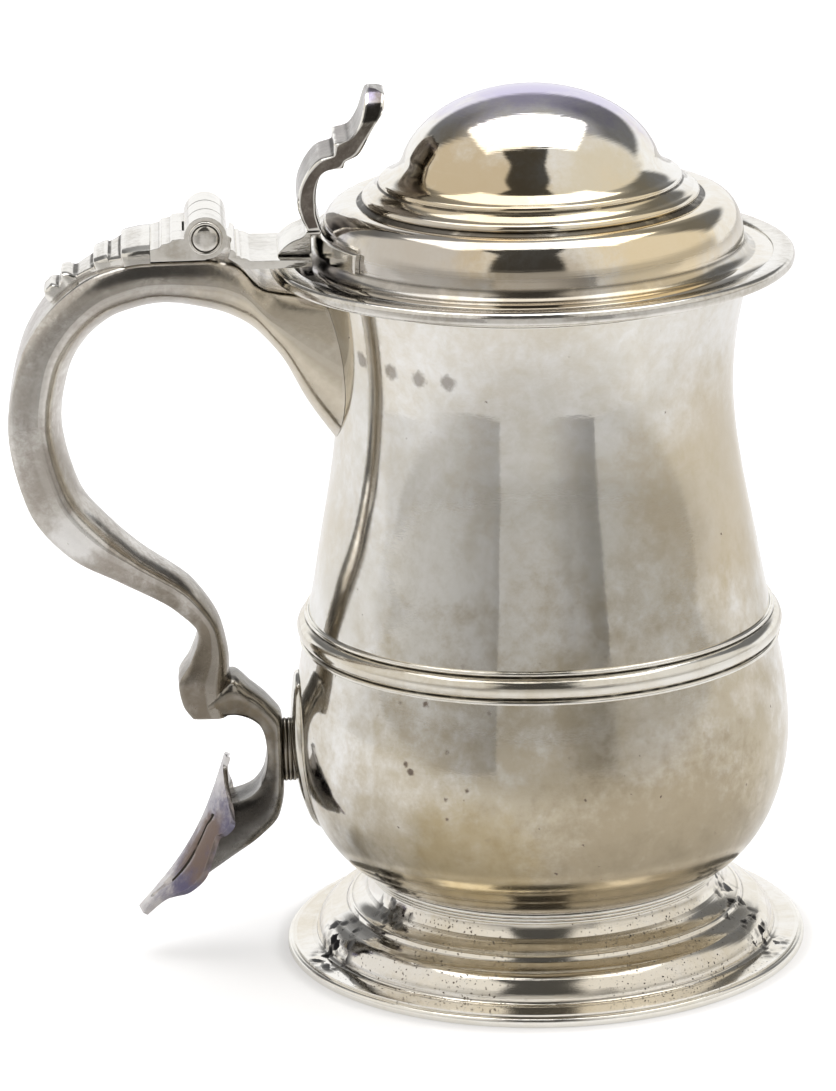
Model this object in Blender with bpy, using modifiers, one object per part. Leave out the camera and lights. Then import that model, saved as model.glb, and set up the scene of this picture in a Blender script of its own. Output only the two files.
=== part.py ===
"""Lidded baluster tankard of worked silver, built piece by piece.

The vessel's axis is the Z axis and the foot stands on Z = 0. The handle points to -X, and the pin of
the lid's hinge runs along Y. Lengths are in metres.
"""
import math

import bmesh
import bpy
from mathutils import Matrix, Vector

# Fits and facets
SOLDER_GAP = 0.0003
RUNNING_GAP = 0.0004
TURN_STEPS = 40
ROUND_SIDES = 24
BELLY_STEPS = 6
WAIST_STEPS = 7
NECK_STEPS = 4

# Foot
FOOT_RADIUS = 0.0580
FOOT_RIM_HEIGHT = 0.0020
FOOT_RIM_WIDTH = 0.0034
FOOT_STEP_RADIUS = 0.0441
FOOT_STEP_HEIGHT = 0.0107
FOOT_WAIST_RADIUS = 0.0385
FOOT_WALL = 0.0011
FOOT_LEDGE = 0.0008
FOOT_SKIRT = 0.0012
COLLAR_HEIGHT = 0.0021
COLLAR_WIDTH = 0.0013

# Body
BODY_BASE_HEIGHT = 0.0180
BODY_FLAT_RADIUS = 0.0342
BELLY_RADIUS = 0.0550
BELLY_HEIGHT = 0.0500
TAPER_RADIUS = 0.0490
TAPER_HEIGHT = 0.0890
NECK_RADIUS = 0.0435
NECK_HEIGHT = 0.1280
MOUTH_RADIUS = 0.0486
MOUTH_HEIGHT = 0.1567
BODY_WALL = 0.0009
LIP_HEIGHT = 0.0036
LIP_WIDTH = 0.0011
GIRDLE_HEIGHT = 0.0749
GIRDLE_BREADTH = 0.0071
GIRDLE_PROUD = 0.0016

# Lid
FLANGE_OVERHANG = 0.0085
LID_WALL = 0.0010
LID_RIM_HEIGHT = 0.0028
LID_RIM_WIDTH = 0.0044
LID_RIM_PROUD = 0.0002
SHOULDER_SETBACK = 0.0025
SHOULDER_ROUND = 0.0066
SHOULDER_RISE = 0.0098
COVE_RADIUS = 0.0025
RING_RADIUS = 0.0365
RING_HEIGHT = 0.0150
RING_EDGE = 0.0014
STEP_RADIUS = 0.0327
STEP_HEIGHT = 0.0183
STEP_EDGE = 0.0011
DOME_RADIUS = 0.0287
DOME_SPRING_HEIGHT = 0.0175
DOME_RISE = 0.0200
BEZEL_DEPTH = 0.0040
BEZEL_WALL = 0.0010

# Hinge
HINGE_OUT = 0.0136
HINGE_UP = 0.0094
KNUCKLE_RADIUS = 0.0046
BARREL_LENGTH = 0.0252
LID_KNUCKLE_LENGTH = 0.0080
PIN_RADIUS = 0.0020
PIN_CAP_RADIUS = 0.0037
PIN_CAP_HEIGHT = 0.0009
HINGE_BLOCK_LENGTH = 0.0120
HINGE_BLOCK_FALL = 0.0022
DROP_LENGTH = 0.0247
DROP_TALL = 0.0034
HINGE_PLATE_THICKNESS = 0.0016
HINGE_PLATE_WIDTH = 0.0260
HINGE_PLATE_LIFT = 0.0010
PLATE_REED = 0.0012

# Handle
HANDLE_UNIT = 0.0100
HANDLE_REACH = 0.1151
GRIP_HEIGHT = 0.1240
HANDLE_WIDTH = 0.0260
SPUR_WIDTH = 0.0145
SPUR_REACH = 0.0113
HANDLE_WALL = 0.0011
SOCKET_HEIGHT = 0.0462
SOCKET_LENGTH = 0.0012
SOCKET_TALL = 0.0140
SOCKET_WIDE = 0.0092
BACKPLATE_THICKNESS = 0.0007
BACKPLATE_TALL = 0.0366
BACKPLATE_WIDE = 0.0240
SCROLL_WIDTH = 0.0130
TERMINAL_LENGTH = 0.0407
TERMINAL_WIDTH = 0.0220
TERMINAL_THICKNESS = 0.0012
TERMINAL_CURVE = 0.0132
TERMINAL_OUT = 0.0132
TERMINAL_DISH = 0.0028

# Thumbpiece
SADDLE_TALL = 0.0044
SADDLE_THICKNESS = 0.0010
SADDLE_REACH = 0.0265
WEDGE_REACH = 0.0074
WEDGE_OVERHANG = 0.0022
WEDGE_LIP = 0.0008
THUMB_WIDTH = 0.0180
THUMB_TALL = 0.0298

# Places that follow from the sizes above
FLANGE_RADIUS = MOUTH_RADIUS + FLANGE_OVERHANG
LID_SEAT = MOUTH_HEIGHT + SOLDER_GAP
FLANGE_TOP = LID_SEAT + LID_WALL
SHOULDER_RADIUS = MOUTH_RADIUS - SHOULDER_SETBACK
SHOULDER_LOW = FLANGE_TOP + COVE_RADIUS
HINGE_X = -(FLANGE_RADIUS + HINGE_OUT)
HINGE_Z = LID_SEAT + HINGE_UP
HANDLE_CROWN = HINGE_Z - KNUCKLE_RADIUS - SOLDER_GAP - RUNNING_GAP / 2
BEZEL_RADIUS = SHOULDER_RADIUS - LID_WALL - SOLDER_GAP


def empty_scene():
    for item in list(bpy.data.objects):
        bpy.data.objects.remove(item, do_unlink=True)
    for group in list(bpy.data.collections):
        bpy.data.collections.remove(group)


def new_collection(name):
    group = bpy.data.collections.new(name)
    bpy.context.scene.collection.children.link(group)
    return group


def silver(name, colour, roughness):
    """Principled material of a silver piece in its own tone."""
    made = bpy.data.materials.new(name)
    made.use_nodes = True
    shader = made.node_tree.nodes["Principled BSDF"]
    shader.inputs["Base Color"].default_value = (*colour, 1.0)
    shader.inputs["Metallic"].default_value = 1.0
    shader.inputs["Roughness"].default_value = roughness
    return made


empty_scene()
PARTS = new_collection("tankard")
CUTTERS = new_collection("tankard_cutters")
BRIGHT = silver("bright_silver", (0.78, 0.75, 0.69), 0.14)
SATIN = silver("satin_silver", (0.66, 0.62, 0.55), 0.30)
DARK = silver("toned_silver", (0.47, 0.44, 0.39), 0.28)


def add_piece(name, mesh, material):
    """Show a mesh as a named piece of the tankard."""
    piece = bpy.data.objects.new(name, mesh)
    mesh.materials.clear()
    mesh.materials.append(material)
    mesh.shade_smooth()
    mesh.set_sharp_from_angle(angle=math.radians(35))
    PARTS.objects.link(piece)
    return piece


def add_cutter(name, mesh):
    """Keep a mesh as a hidden tool body."""
    tool = bpy.data.objects.new(name, mesh)
    tool.hide_render = True
    tool.display_type = "WIRE"
    CUTTERS.objects.link(tool)
    return tool


def combine(piece, tool, operation):
    step = piece.modifiers.new(tool.name, "BOOLEAN")
    step.operation = operation
    step.solver = "EXACT"
    step.object = tool


def finish_mesh(name, shape):
    """Close a bmesh, turn its faces outwards and store it."""
    bmesh.ops.remove_doubles(shape, verts=shape.verts, dist=1e-7)
    bmesh.ops.recalc_face_normals(shape, faces=shape.faces)
    mesh = bpy.data.meshes.new(name)
    shape.to_mesh(mesh)
    shape.free()
    return mesh


def turn(holder):
    """Spin the profile held by an object about the Z axis."""
    screw = holder.modifiers.new("turning", "SCREW")
    screw.axis = "Z"
    screw.angle = math.tau
    screw.steps = TURN_STEPS
    screw.render_steps = TURN_STEPS
    screw.use_merge_vertices = True
    screw.merge_threshold = 1e-6
    return holder


def profile_mesh(name, points, closed):
    """Radius and height pairs as a chain of edges beside the axis."""
    edges = [(i, i + 1) for i in range(len(points) - 1)]
    if closed:
        edges.append((len(points) - 1, 0))
    mesh = bpy.data.meshes.new(name)
    mesh.from_pydata([(r, 0.0, z) for r, z in points], edges, [])
    return mesh


def turned_piece(name, points, material, closed=True):
    return turn(add_piece(name, profile_mesh(name, points, closed), material))


def turned_cutter(name, points, closed=True):
    return turn(add_cutter(name, profile_mesh(name, points, closed)))


def arc(start, end, bulge, count):
    """Points after start, up to end, on an arc that rises bulge half chords to the left of travel."""
    x0, y0 = start
    x1, y1 = end
    half = math.hypot(x1 - x0, y1 - y0) / 2
    normal = (-(y1 - y0) / (2 * half), (x1 - x0) / (2 * half))
    lift = bulge * half - half * (1 + bulge * bulge) / (2 * bulge)
    cx = (x0 + x1) / 2 + normal[0] * lift
    cy = (y0 + y1) / 2 + normal[1] * lift
    radius = math.hypot(x0 - cx, y0 - cy)
    first = math.atan2(y0 - cy, x0 - cx)
    sweep = -4 * math.atan(bulge)
    angles = [first + sweep * i / count for i in range(1, count + 1)]
    return [(cx + radius * math.cos(a), cy + radius * math.sin(a)) for a in angles]


def ellipse(centre, across, up, first, last, count):
    """Points on an ellipse from the first angle to the last, both in degrees."""
    angles = [math.radians(first + (last - first) * i / count) for i in range(count + 1)]
    return [(centre[0] + across * math.cos(a), centre[1] + up * math.sin(a)) for a in angles]


def ease(values, fine):
    """Smooth run through the values that never overshoots them, with fine samples to a span."""
    steps = [b - a for a, b in zip(values, values[1:])]
    slopes = [steps[0]]
    for before, after in zip(steps, steps[1:]):
        same_way = before * after > 0
        slopes.append(2 * before * after / (before + after) if same_way else 0.0)
    slopes.append(steps[-1])
    run = []
    for i, step in enumerate(steps):
        for k in range(fine):
            t = k / fine
            blend = t * t * (3 - 2 * t)
            lead = t * (1 - t) * (1 - t) * slopes[i]
            trail = t * t * (t - 1) * slopes[i + 1]
            run.append(values[i] + step * blend + lead + trail)
    run.append(values[-1])
    return run


def ease_rows(rows, fine):
    """The same smooth run through each column of a list of stations."""
    return list(zip(*[ease(column, fine) for column in zip(*rows)]))


def loft(name, rings):
    """Closed skin through rings of like points, with flat ends."""
    shape = bmesh.new()
    loops = [[shape.verts.new(point) for point in ring] for ring in rings]
    count = len(rings[0])
    for near, far in zip(loops, loops[1:]):
        for i in range(count):
            j = (i + 1) % count
            shape.faces.new((near[i], near[j], far[j], far[i]))
    shape.faces.new(reversed(loops[0]))
    shape.faces.new(loops[-1])
    return finish_mesh(name, shape)


def slab(name, outline, half_width):
    """Outline in the XZ plane made a plate that reaches half_width to each side of Y = 0."""
    curve = bpy.data.curves.new(name, "CURVE")
    curve.dimensions = "2D"
    curve.fill_mode = "BOTH"
    curve.extrude = half_width
    spline = curve.splines.new("POLY")
    spline.points.add(len(outline) - 1)
    for point, (x, z) in zip(spline.points, outline):
        point.co = (x, z, 0.0, 1.0)
    spline.use_cyclic_u = True
    holder = bpy.data.objects.new(name, curve)
    bpy.context.scene.collection.objects.link(holder)
    holder.matrix_world = Matrix.Rotation(math.radians(90), 4, "X")
    bpy.context.view_layer.update()
    view = bpy.context.evaluated_depsgraph_get()
    flat = bpy.data.meshes.new_from_object(holder.evaluated_get(view))
    shape = bmesh.new()
    shape.from_mesh(flat)
    shape.transform(holder.matrix_world)
    bpy.data.objects.remove(holder, do_unlink=True)
    return finish_mesh(name, shape)


def rod(name, radius, length, axis, centre, across=1.0):
    """Cylinder along an axis; across stretches its section along the other level axis."""
    shape = bmesh.new()
    bmesh.ops.create_cone(shape, cap_ends=True, segments=ROUND_SIDES, radius1=radius, radius2=radius,
                          depth=length)
    bmesh.ops.scale(shape, vec=(1.0, across, 1.0), verts=shape.verts)
    turning = Vector((0, 0, 1)).rotation_difference(Vector(axis)).to_matrix().to_4x4()
    shape.transform(Matrix.Translation(centre) @ turning)
    return finish_mesh(name, shape)


def block(name, low, high):
    """Box between two corners."""
    shape = bmesh.new()
    bmesh.ops.create_cube(shape, size=1.0)
    size = [b - a for a, b in zip(low, high)]
    middle = [(a + b) / 2 for a, b in zip(low, high)]
    bmesh.ops.scale(shape, vec=size, verts=shape.verts)
    bmesh.ops.translate(shape, vec=middle, verts=shape.verts)
    return finish_mesh(name, shape)


# Body

def belly_curve(inset, count):
    """Lower belly from the flat base out to the widest point, set in by a wall."""
    across = BELLY_RADIUS - BODY_FLAT_RADIUS - inset
    up = BELLY_HEIGHT - BODY_BASE_HEIGHT - inset
    return ellipse((BODY_FLAT_RADIUS, BELLY_HEIGHT), across, up, -90, 0, count)


def body_radius(z):
    """Outer radius of the body at a height."""
    if z <= BELLY_HEIGHT:
        share = min(1.0, (BELLY_HEIGHT - z) / (BELLY_HEIGHT - BODY_BASE_HEIGHT))
        return BODY_FLAT_RADIUS + (BELLY_RADIUS - BODY_FLAT_RADIUS) * math.sqrt(1 - share * share)
    if z >= NECK_HEIGHT:
        share = (z - NECK_HEIGHT) / (MOUTH_HEIGHT - NECK_HEIGHT)
        return NECK_RADIUS + (MOUTH_RADIUS - NECK_RADIUS) * share * share
    heights = (BELLY_HEIGHT, TAPER_HEIGHT, NECK_HEIGHT)
    radii = (BELLY_RADIUS, TAPER_RADIUS, NECK_RADIUS)
    lean = (NECK_RADIUS - BELLY_RADIUS) / (NECK_HEIGHT - BELLY_HEIGHT) * 1.15
    slopes = (0.0, lean, 0.0)
    i = 0 if z < TAPER_HEIGHT else 1
    span = heights[i + 1] - heights[i]
    t = (z - heights[i]) / span
    blend = t * t * (3 - 2 * t)
    lead = t * (1 - t) * (1 - t) * slopes[i]
    trail = t * t * (t - 1) * slopes[i + 1]
    return radii[i] + (radii[i + 1] - radii[i]) * blend + span * (lead + trail)


def heights_between(low, high, count):
    return [low + (high - low) * i / count for i in range(count + 1)]


def wall_line(low, high, count, offset):
    """Body radius plus an offset, from a low height to a high one."""
    return [(body_radius(z) + offset, z) for z in heights_between(low, high, count)]


def upper_wall(offset, waist_count, neck_count):
    """Body wall from above the belly to the mouth, moved by an offset."""
    waist = wall_line(BELLY_HEIGHT, NECK_HEIGHT, waist_count, offset)
    neck = wall_line(NECK_HEIGHT, MOUTH_HEIGHT, neck_count, offset)
    return waist[1:] + neck[1:]


def make_body():
    floor = (0.0, BODY_BASE_HEIGHT + BODY_WALL)
    inside = [floor] + belly_curve(BODY_WALL, BELLY_STEPS - 1)
    inside += upper_wall(-BODY_WALL, WAIST_STEPS - 1, NECK_STEPS - 1)
    outside = belly_curve(0.0, BELLY_STEPS) + upper_wall(0.0, WAIST_STEPS, NECK_STEPS)
    loop = inside + outside[::-1] + [(0.0, BODY_BASE_HEIGHT)]
    turned_piece("body_vessel", loop, SATIN, closed=False)


def grown_body(offset):
    """Profile of the body's outside as a solid, grown by an offset."""
    lower = [(r + offset, z) for r, z in belly_curve(0.0, BELLY_STEPS)]
    side = lower + upper_wall(offset, WAIST_STEPS, NECK_STEPS)
    return [(0.0, MOUTH_HEIGHT)] + side[::-1] + [(0.0, BODY_BASE_HEIGHT)]


def make_lip():
    low = MOUTH_HEIGHT - LIP_HEIGHT
    inside = wall_line(low, MOUTH_HEIGHT, 1, SOLDER_GAP)
    outside = wall_line(low, MOUTH_HEIGHT, 1, SOLDER_GAP + LIP_WIDTH)
    turned_piece("lip_moulding", outside[::-1] + inside, BRIGHT)


def make_girdle():
    low = GIRDLE_HEIGHT - GIRDLE_BREADTH / 2
    bead = GIRDLE_BREADTH * 0.22
    rib_low = low + bead
    rib_high = low + GIRDLE_BREADTH - bead
    edge = SOLDER_GAP + GIRDLE_PROUD * 0.2
    root = SOLDER_GAP + GIRDLE_PROUD * 0.35

    def at(z, proud):
        return (body_radius(z) + proud, z)

    top = low + GIRDLE_BREADTH
    outside = [at(top, edge), at(top - bead * 0.55, GIRDLE_PROUD * 0.75), at(rib_high, root)]
    outside += arc(at(rib_high, root), at(rib_low, root), 0.42, 4)
    outside += [at(low + bead * 0.55, GIRDLE_PROUD * 0.75), at(low, edge)]
    inside = wall_line(low, top, 1, SOLDER_GAP)
    turned_piece("girdle_moulding", outside + inside, BRIGHT)


# Foot

def seat_height(radius):
    """Height just below the body's underside at a radius."""
    share = max(0.0, (radius - BODY_FLAT_RADIUS) / (BELLY_RADIUS - BODY_FLAT_RADIUS))
    drop = (BELLY_HEIGHT - BODY_BASE_HEIGHT) * math.sqrt(1 - share * share)
    return BELLY_HEIGHT - drop - SOLDER_GAP


def make_foot():
    waist_low = FOOT_STEP_HEIGHT + 0.78 * (BODY_BASE_HEIGHT - FOOT_STEP_HEIGHT)
    ledge = (FOOT_STEP_RADIUS - FOOT_LEDGE, FOOT_STEP_HEIGHT + FOOT_LEDGE * 0.4)
    foot_edge = FOOT_RIM_HEIGHT + SOLDER_GAP
    skirt = (FOOT_RADIUS - FOOT_SKIRT, foot_edge + FOOT_SKIRT)
    middle_out = (FOOT_STEP_RADIUS + skirt[0] - FOOT_SKIRT) / 2
    middle = (middle_out, (FOOT_STEP_HEIGHT + skirt[1] - FOOT_SKIRT) / 2)
    outside = [(FOOT_WAIST_RADIUS, seat_height(FOOT_WAIST_RADIUS)), (FOOT_WAIST_RADIUS, waist_low)]
    outside += arc(outside[-1], ledge, -0.28, 3)
    outside += [(FOOT_STEP_RADIUS, FOOT_STEP_HEIGHT)]
    outside += arc(outside[-1], middle, -0.26, 3)
    outside += arc(middle, skirt, 0.24, 3)
    outside += [(skirt[0], foot_edge)]
    inside = [(skirt[0] - FOOT_WALL, foot_edge), (middle[0] - FOOT_WALL * 0.4, middle[1] - FOOT_WALL * 1.1)]
    inside += [(FOOT_STEP_RADIUS - FOOT_WALL, FOOT_STEP_HEIGHT - FOOT_WALL)]
    inside += [(FOOT_WAIST_RADIUS - FOOT_WALL, waist_low)]
    seat_inner = BODY_FLAT_RADIUS - FOOT_WALL
    inside += [(seat_inner, seat_height(seat_inner) - FOOT_WALL), (seat_inner, seat_height(seat_inner))]
    inside += [(BODY_FLAT_RADIUS, seat_height(BODY_FLAT_RADIUS))]
    turned_piece("foot", outside + inside, BRIGHT)

    rim_inner = FOOT_RADIUS - FOOT_RIM_WIDTH
    soft = FOOT_RIM_HEIGHT * 0.3
    rim = [(FOOT_RADIUS - soft, FOOT_RIM_HEIGHT), (FOOT_RADIUS, FOOT_RIM_HEIGHT - soft), (FOOT_RADIUS, 0.0)]
    rim += [(rim_inner, 0.0), (rim_inner, FOOT_RIM_HEIGHT)]
    turned_piece("foot_rim_wire", rim, BRIGHT)

    inner = FOOT_WAIST_RADIUS + SOLDER_GAP
    outer = inner + COLLAR_WIDTH
    low = seat_height(inner) - COLLAR_HEIGHT
    crest = outer - COLLAR_WIDTH * 0.3
    collar = [(inner, seat_height(inner)), (crest, seat_height(crest))]
    collar += [(outer, seat_height(outer) - COLLAR_WIDTH * 0.6), (outer, low + COLLAR_WIDTH * 0.5)]
    collar += [(inner, low)]
    turned_piece("foot_collar", collar, BRIGHT)


# Lid

def shoulder_curve(offset, first, last, count):
    """Round shoulder of the lid between two angles in degrees, moved outwards by an offset."""
    centre = (SHOULDER_RADIUS - SHOULDER_ROUND, SHOULDER_LOW)
    return ellipse(centre, SHOULDER_ROUND + offset, SHOULDER_RISE + offset, first, last, count)


def make_lid():
    spring = LID_SEAT + DOME_SPRING_HEIGHT
    step = (STEP_RADIUS, LID_SEAT + STEP_HEIGHT)
    ring_top = LID_SEAT + RING_HEIGHT
    outside = ellipse((0.0, spring), DOME_RADIUS, DOME_RISE, 90, 17, 7)
    outside += arc(outside[-1], step, -0.26, 3)
    outside += [(STEP_RADIUS + STEP_EDGE * 0.2, step[1] - STEP_EDGE)]
    outside += arc(outside[-1], (RING_RADIUS - RING_EDGE * 0.4, ring_top + RING_EDGE * 0.15), -0.2, 2)
    outside += [(RING_RADIUS, ring_top - RING_EDGE * 0.35), (RING_RADIUS, ring_top - RING_EDGE)]
    outside += shoulder_curve(0.0, 107, 0, 5)
    cove_end = (SHOULDER_RADIUS + COVE_RADIUS * 1.2, FLANGE_TOP + COVE_RADIUS * 0.3)
    outside += arc(outside[-1], cove_end, -0.36, 2)
    edge = FLANGE_RADIUS - LID_RIM_WIDTH - SOLDER_GAP
    outside += [(edge, FLANGE_TOP), (edge, LID_SEAT)]
    inside = [(SHOULDER_RADIUS + LID_WALL * 0.8, LID_SEAT)]
    inside += [(SHOULDER_RADIUS - LID_WALL, LID_SEAT + LID_WALL * 1.6)]
    inside += shoulder_curve(-LID_WALL, 0, 90, 3)
    inside += [(RING_RADIUS - LID_WALL, ring_top - RING_EDGE - LID_WALL)]
    inside += [(STEP_RADIUS - LID_WALL, step[1] - STEP_EDGE - LID_WALL * 2.3)]
    inside += [(DOME_RADIUS - LID_WALL, spring)]
    inside += ellipse((0.0, spring), DOME_RADIUS - LID_WALL, DOME_RISE - LID_WALL, 18, 90, 5)
    turned_piece("lid_shell", outside + inside, BRIGHT, closed=False)

    outer = FLANGE_RADIUS
    inner = FLANGE_RADIUS - LID_RIM_WIDTH
    top = FLANGE_TOP + LID_RIM_PROUD
    low = top - LID_RIM_HEIGHT
    soft = LID_RIM_HEIGHT * 0.3
    wire = [(inner, top), (outer - soft, top), (outer, top - soft)]
    wire += [(outer, low + soft), (outer - soft, low), (inner, low)]
    turned_piece("lid_rim_wire", wire, BRIGHT)

    bezel_top = FLANGE_TOP + COVE_RADIUS * 0.8
    low = LID_SEAT - BEZEL_DEPTH
    bore = BEZEL_RADIUS - BEZEL_WALL
    bezel = [(BEZEL_RADIUS, bezel_top), (BEZEL_RADIUS, low), (bore, low), (bore, bezel_top)]
    turned_piece("lid_bezel", bezel, BRIGHT)


# Handle

def lower_anchor():
    """Where the lower scroll's face meets the socket, as x and z."""
    standoff = BACKPLATE_THICKNESS + SOCKET_LENGTH + 3 * SOLDER_GAP
    return -(body_radius(SOCKET_HEIGHT) + standoff), SOCKET_HEIGHT


def from_place(place, across, up):
    """Point that lies some handle units from a place, as x and z."""
    return (place[0] + across * HANDLE_UNIT, place[1] + up * HANDLE_UNIT)


def handle_rows():
    """Stations from the body round to the spur: back x and z, inner x and z, width, seam depth share."""
    face, level = lower_anchor()
    join = (-body_radius(NECK_HEIGHT), HANDLE_CROWN)
    rim = (-FLANGE_RADIUS, FLANGE_TOP - LID_RIM_HEIGHT)
    hinge = (HINGE_X, HANDLE_CROWN)
    grip = (-HANDLE_REACH, GRIP_HEIGHT)
    spur = (face - SPUR_REACH, level)
    full = HANDLE_WIDTH
    slim = SPUR_WIDTH
    middle = (full + slim) / 2
    return [
        from_place(join, 0.60, -1.12) + from_place(join, 0.60, -5.20) + (full, 0.40),
        from_place(join, -0.70, -0.86) + from_place(join, -0.60, -3.50) + (full, 0.40),
        from_place(rim, -0.10, -0.11) + from_place(join, -1.20, -2.36) + (full, 0.40),
        from_place(hinge, 0.62, -0.14) + from_place(join, -1.90, -1.63) + (full, 0.40),
        from_place(hinge, -0.10, 0.00) + from_place(hinge, 0.10, -1.30) + (full, 0.41),
        from_place(hinge, -1.20, 0.00) + from_place(hinge, -0.95, -1.11) + (full, 0.42),
        from_place(hinge, -2.28, -0.22) + from_place(hinge, -1.80, -1.26) + (full, 0.44),
        from_place(grip, 1.20, 2.90) + from_place(grip, 1.95, 2.06) + (full * 0.98, 0.48),
        from_place(grip, 0.32, 1.60) + from_place(grip, 1.36, 1.15) + (full * 0.95, 0.52),
        from_place(grip, 0.00, 0.00) + from_place(grip, 1.16, 0.00) + (full * 0.90, 0.58),
        from_place(grip, 0.35, -1.78) + from_place(grip, 1.50, -1.50) + (middle * 1.04, 0.60),
        from_place(grip, 1.29, -2.99) + from_place(grip, 2.16, -2.36) + (middle * 0.95, 0.62),
        from_place(spur, -2.32, 4.22) + from_place(spur, -1.83, 4.81) + (slim * 1.22, 0.66),
        from_place(spur, -1.14, 3.50) + from_place(spur, -0.69, 3.93) + (slim * 1.06, 0.68),
        from_place(spur, -0.66, 2.90) + from_place(spur, -0.13, 2.98) + (slim * 0.97, 0.68),
        from_place(spur, -0.86, 2.26) + from_place(spur, 0.00, 2.22) + (slim * 0.97, 0.68),
        from_place(spur, -1.14, 1.76) + from_place(spur, 0.00, 1.70) + (slim, 0.68),
        from_place(spur, -1.06, 1.30) + from_place(spur, 0.00, 1.26) + (slim, 0.68),
        from_place(spur, -0.86, 0.98) + from_place(spur, 0.00, 1.00) + (slim * 0.97, 0.68),
    ]


HOLLOW_ENDS = 6


def handle_ring(row, sides, way, hollow):
    """One ring of a half of the handle. The sides list shares of its depth and of its width; way is -1 for
    the back half and 1 for the inner half, and hollow is the share of the depth that is hollowed out."""
    back_x, back_z, inner_x, inner_z, width, ridge = row
    dx = inner_x - back_x
    dz = inner_z - back_z
    depth = math.hypot(dx, dz)
    wall = HANDLE_WALL / depth
    seam = SOLDER_GAP / depth / 2
    rim = ridge + way * seam
    deep = (ridge if way < 0 else 1 - ridge) - seam
    outer = []
    lining = []
    for share, breadth in sides:
        half = breadth * width / 2
        sunk = max(0.0, share * deep - wall) * hollow
        outer.append((rim + way * share * deep, half))
        lining.append((rim + way * sunk, math.copysign(max(0.0, abs(half) - HANDLE_WALL), half)))
    return [(back_x + dx * share, y, back_z + dz * share) for share, y in outer + lining[::-1]]


def make_handle():
    rows = ease_rows(handle_rows(), 2)
    strap_sides = [(0.0, -1.0), (0.62, -0.96), (1.0, -0.86), (1.0, 0.86), (0.62, 0.96), (0.0, 1.0)]
    channel_sides = [(0.0, -0.98), (0.50, -0.86), (0.86, -0.50), (1.0, -0.16), (1.0, 0.16)]
    channel_sides += [(0.86, 0.50), (0.50, 0.86), (0.0, 0.98)]
    last = len(rows) - 1
    body = turned_cutter("body_clearance", grown_body(SOLDER_GAP), closed=False)
    halves = (("handle_back_strap", strap_sides, -1), ("handle_inner_channel", channel_sides, 1))
    for name, sides, way in halves:
        rings = []
        for i, row in enumerate(rows):
            hollow = min(1.0, max(0.0, (last - i) / HOLLOW_ENDS - 0.5))
            rings.append(handle_ring(row, sides, way, hollow))
        piece = add_piece(name, loft(name, rings), DARK)
        combine(piece, body, "DIFFERENCE")


def make_lower_fixing():
    """Oval backplate on the belly, cut from a turned band, and the socket on it."""
    face, level = lower_anchor()
    low = level - BACKPLATE_TALL * 0.53
    high = level + BACKPLATE_TALL * 0.53
    inside = wall_line(low, high, 10, SOLDER_GAP)
    outside = wall_line(low, high, 10, SOLDER_GAP + BACKPLATE_THICKNESS)
    plate = turned_piece("lower_backplate", outside[::-1] + inside, SATIN)
    oval = rod("backplate_oval", BACKPLATE_TALL / 2, BELLY_RADIUS, (-1, 0, 0), (-BELLY_RADIUS, 0, level),
               BACKPLATE_WIDE / BACKPLATE_TALL)
    combine(plate, add_cutter("backplate_oval", oval), "INTERSECT")

    reach = BELLY_RADIUS / 3
    centre = (face + SOLDER_GAP + reach / 2, 0, level)
    socket_mesh = rod("lower_socket", SOCKET_TALL / 2, reach, (-1, 0, 0), centre, SOCKET_WIDE / SOCKET_TALL)
    socket = add_piece("lower_socket", socket_mesh, DARK)
    standoff = 2 * SOLDER_GAP + BACKPLATE_THICKNESS
    clear = turned_cutter("plate_clearance", grown_body(standoff), closed=False)
    combine(socket, clear, "DIFFERENCE")


def scroll_rows():
    """Stations of the lower scroll: hollow side x and z, round side x and z, width."""
    face, level = lower_anchor()
    butt = (face - SPUR_REACH + SOLDER_GAP, level)
    seat = (face, level)
    seat_top = (face, level + SOCKET_TALL / 2)
    seat_low = (face, level - SOCKET_TALL / 2)
    wide = SCROLL_WIDTH
    return [
        from_place(butt, 0.00, 1.04) + from_place(butt, 0.00, 1.74) + (wide,),
        from_place(seat, -0.80, 0.94) + from_place(seat, -0.66, 1.54) + (wide * 0.97,),
        from_place(seat, -0.50, 0.72) + from_place(seat, -0.28, 1.19) + (wide * 0.94,),
        from_place(seat, -0.39, 0.40) + from_place(seat_top, 0.00, 0.04) + (wide * 0.92,),
        from_place(seat, -0.36, 0.00) + from_place(seat, 0.00, 0.00) + (wide * 0.92,),
        from_place(seat, -0.43, -0.46) + from_place(seat_low, 0.00, -0.04) + (wide * 0.96,),
        from_place(seat, -0.70, -0.86) + from_place(seat, -0.12, -1.40) + (wide,),
        from_place(seat, -1.06, -1.02) + from_place(seat, -0.58, -1.92) + (wide * 1.06,),
        from_place(seat, -1.50, -1.12) + from_place(seat, -1.24, -2.38) + (wide * 1.12,),
        from_place(seat, -2.10, -1.28) + from_place(seat, -2.00, -2.90) + (wide * 1.16,),
    ]


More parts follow.
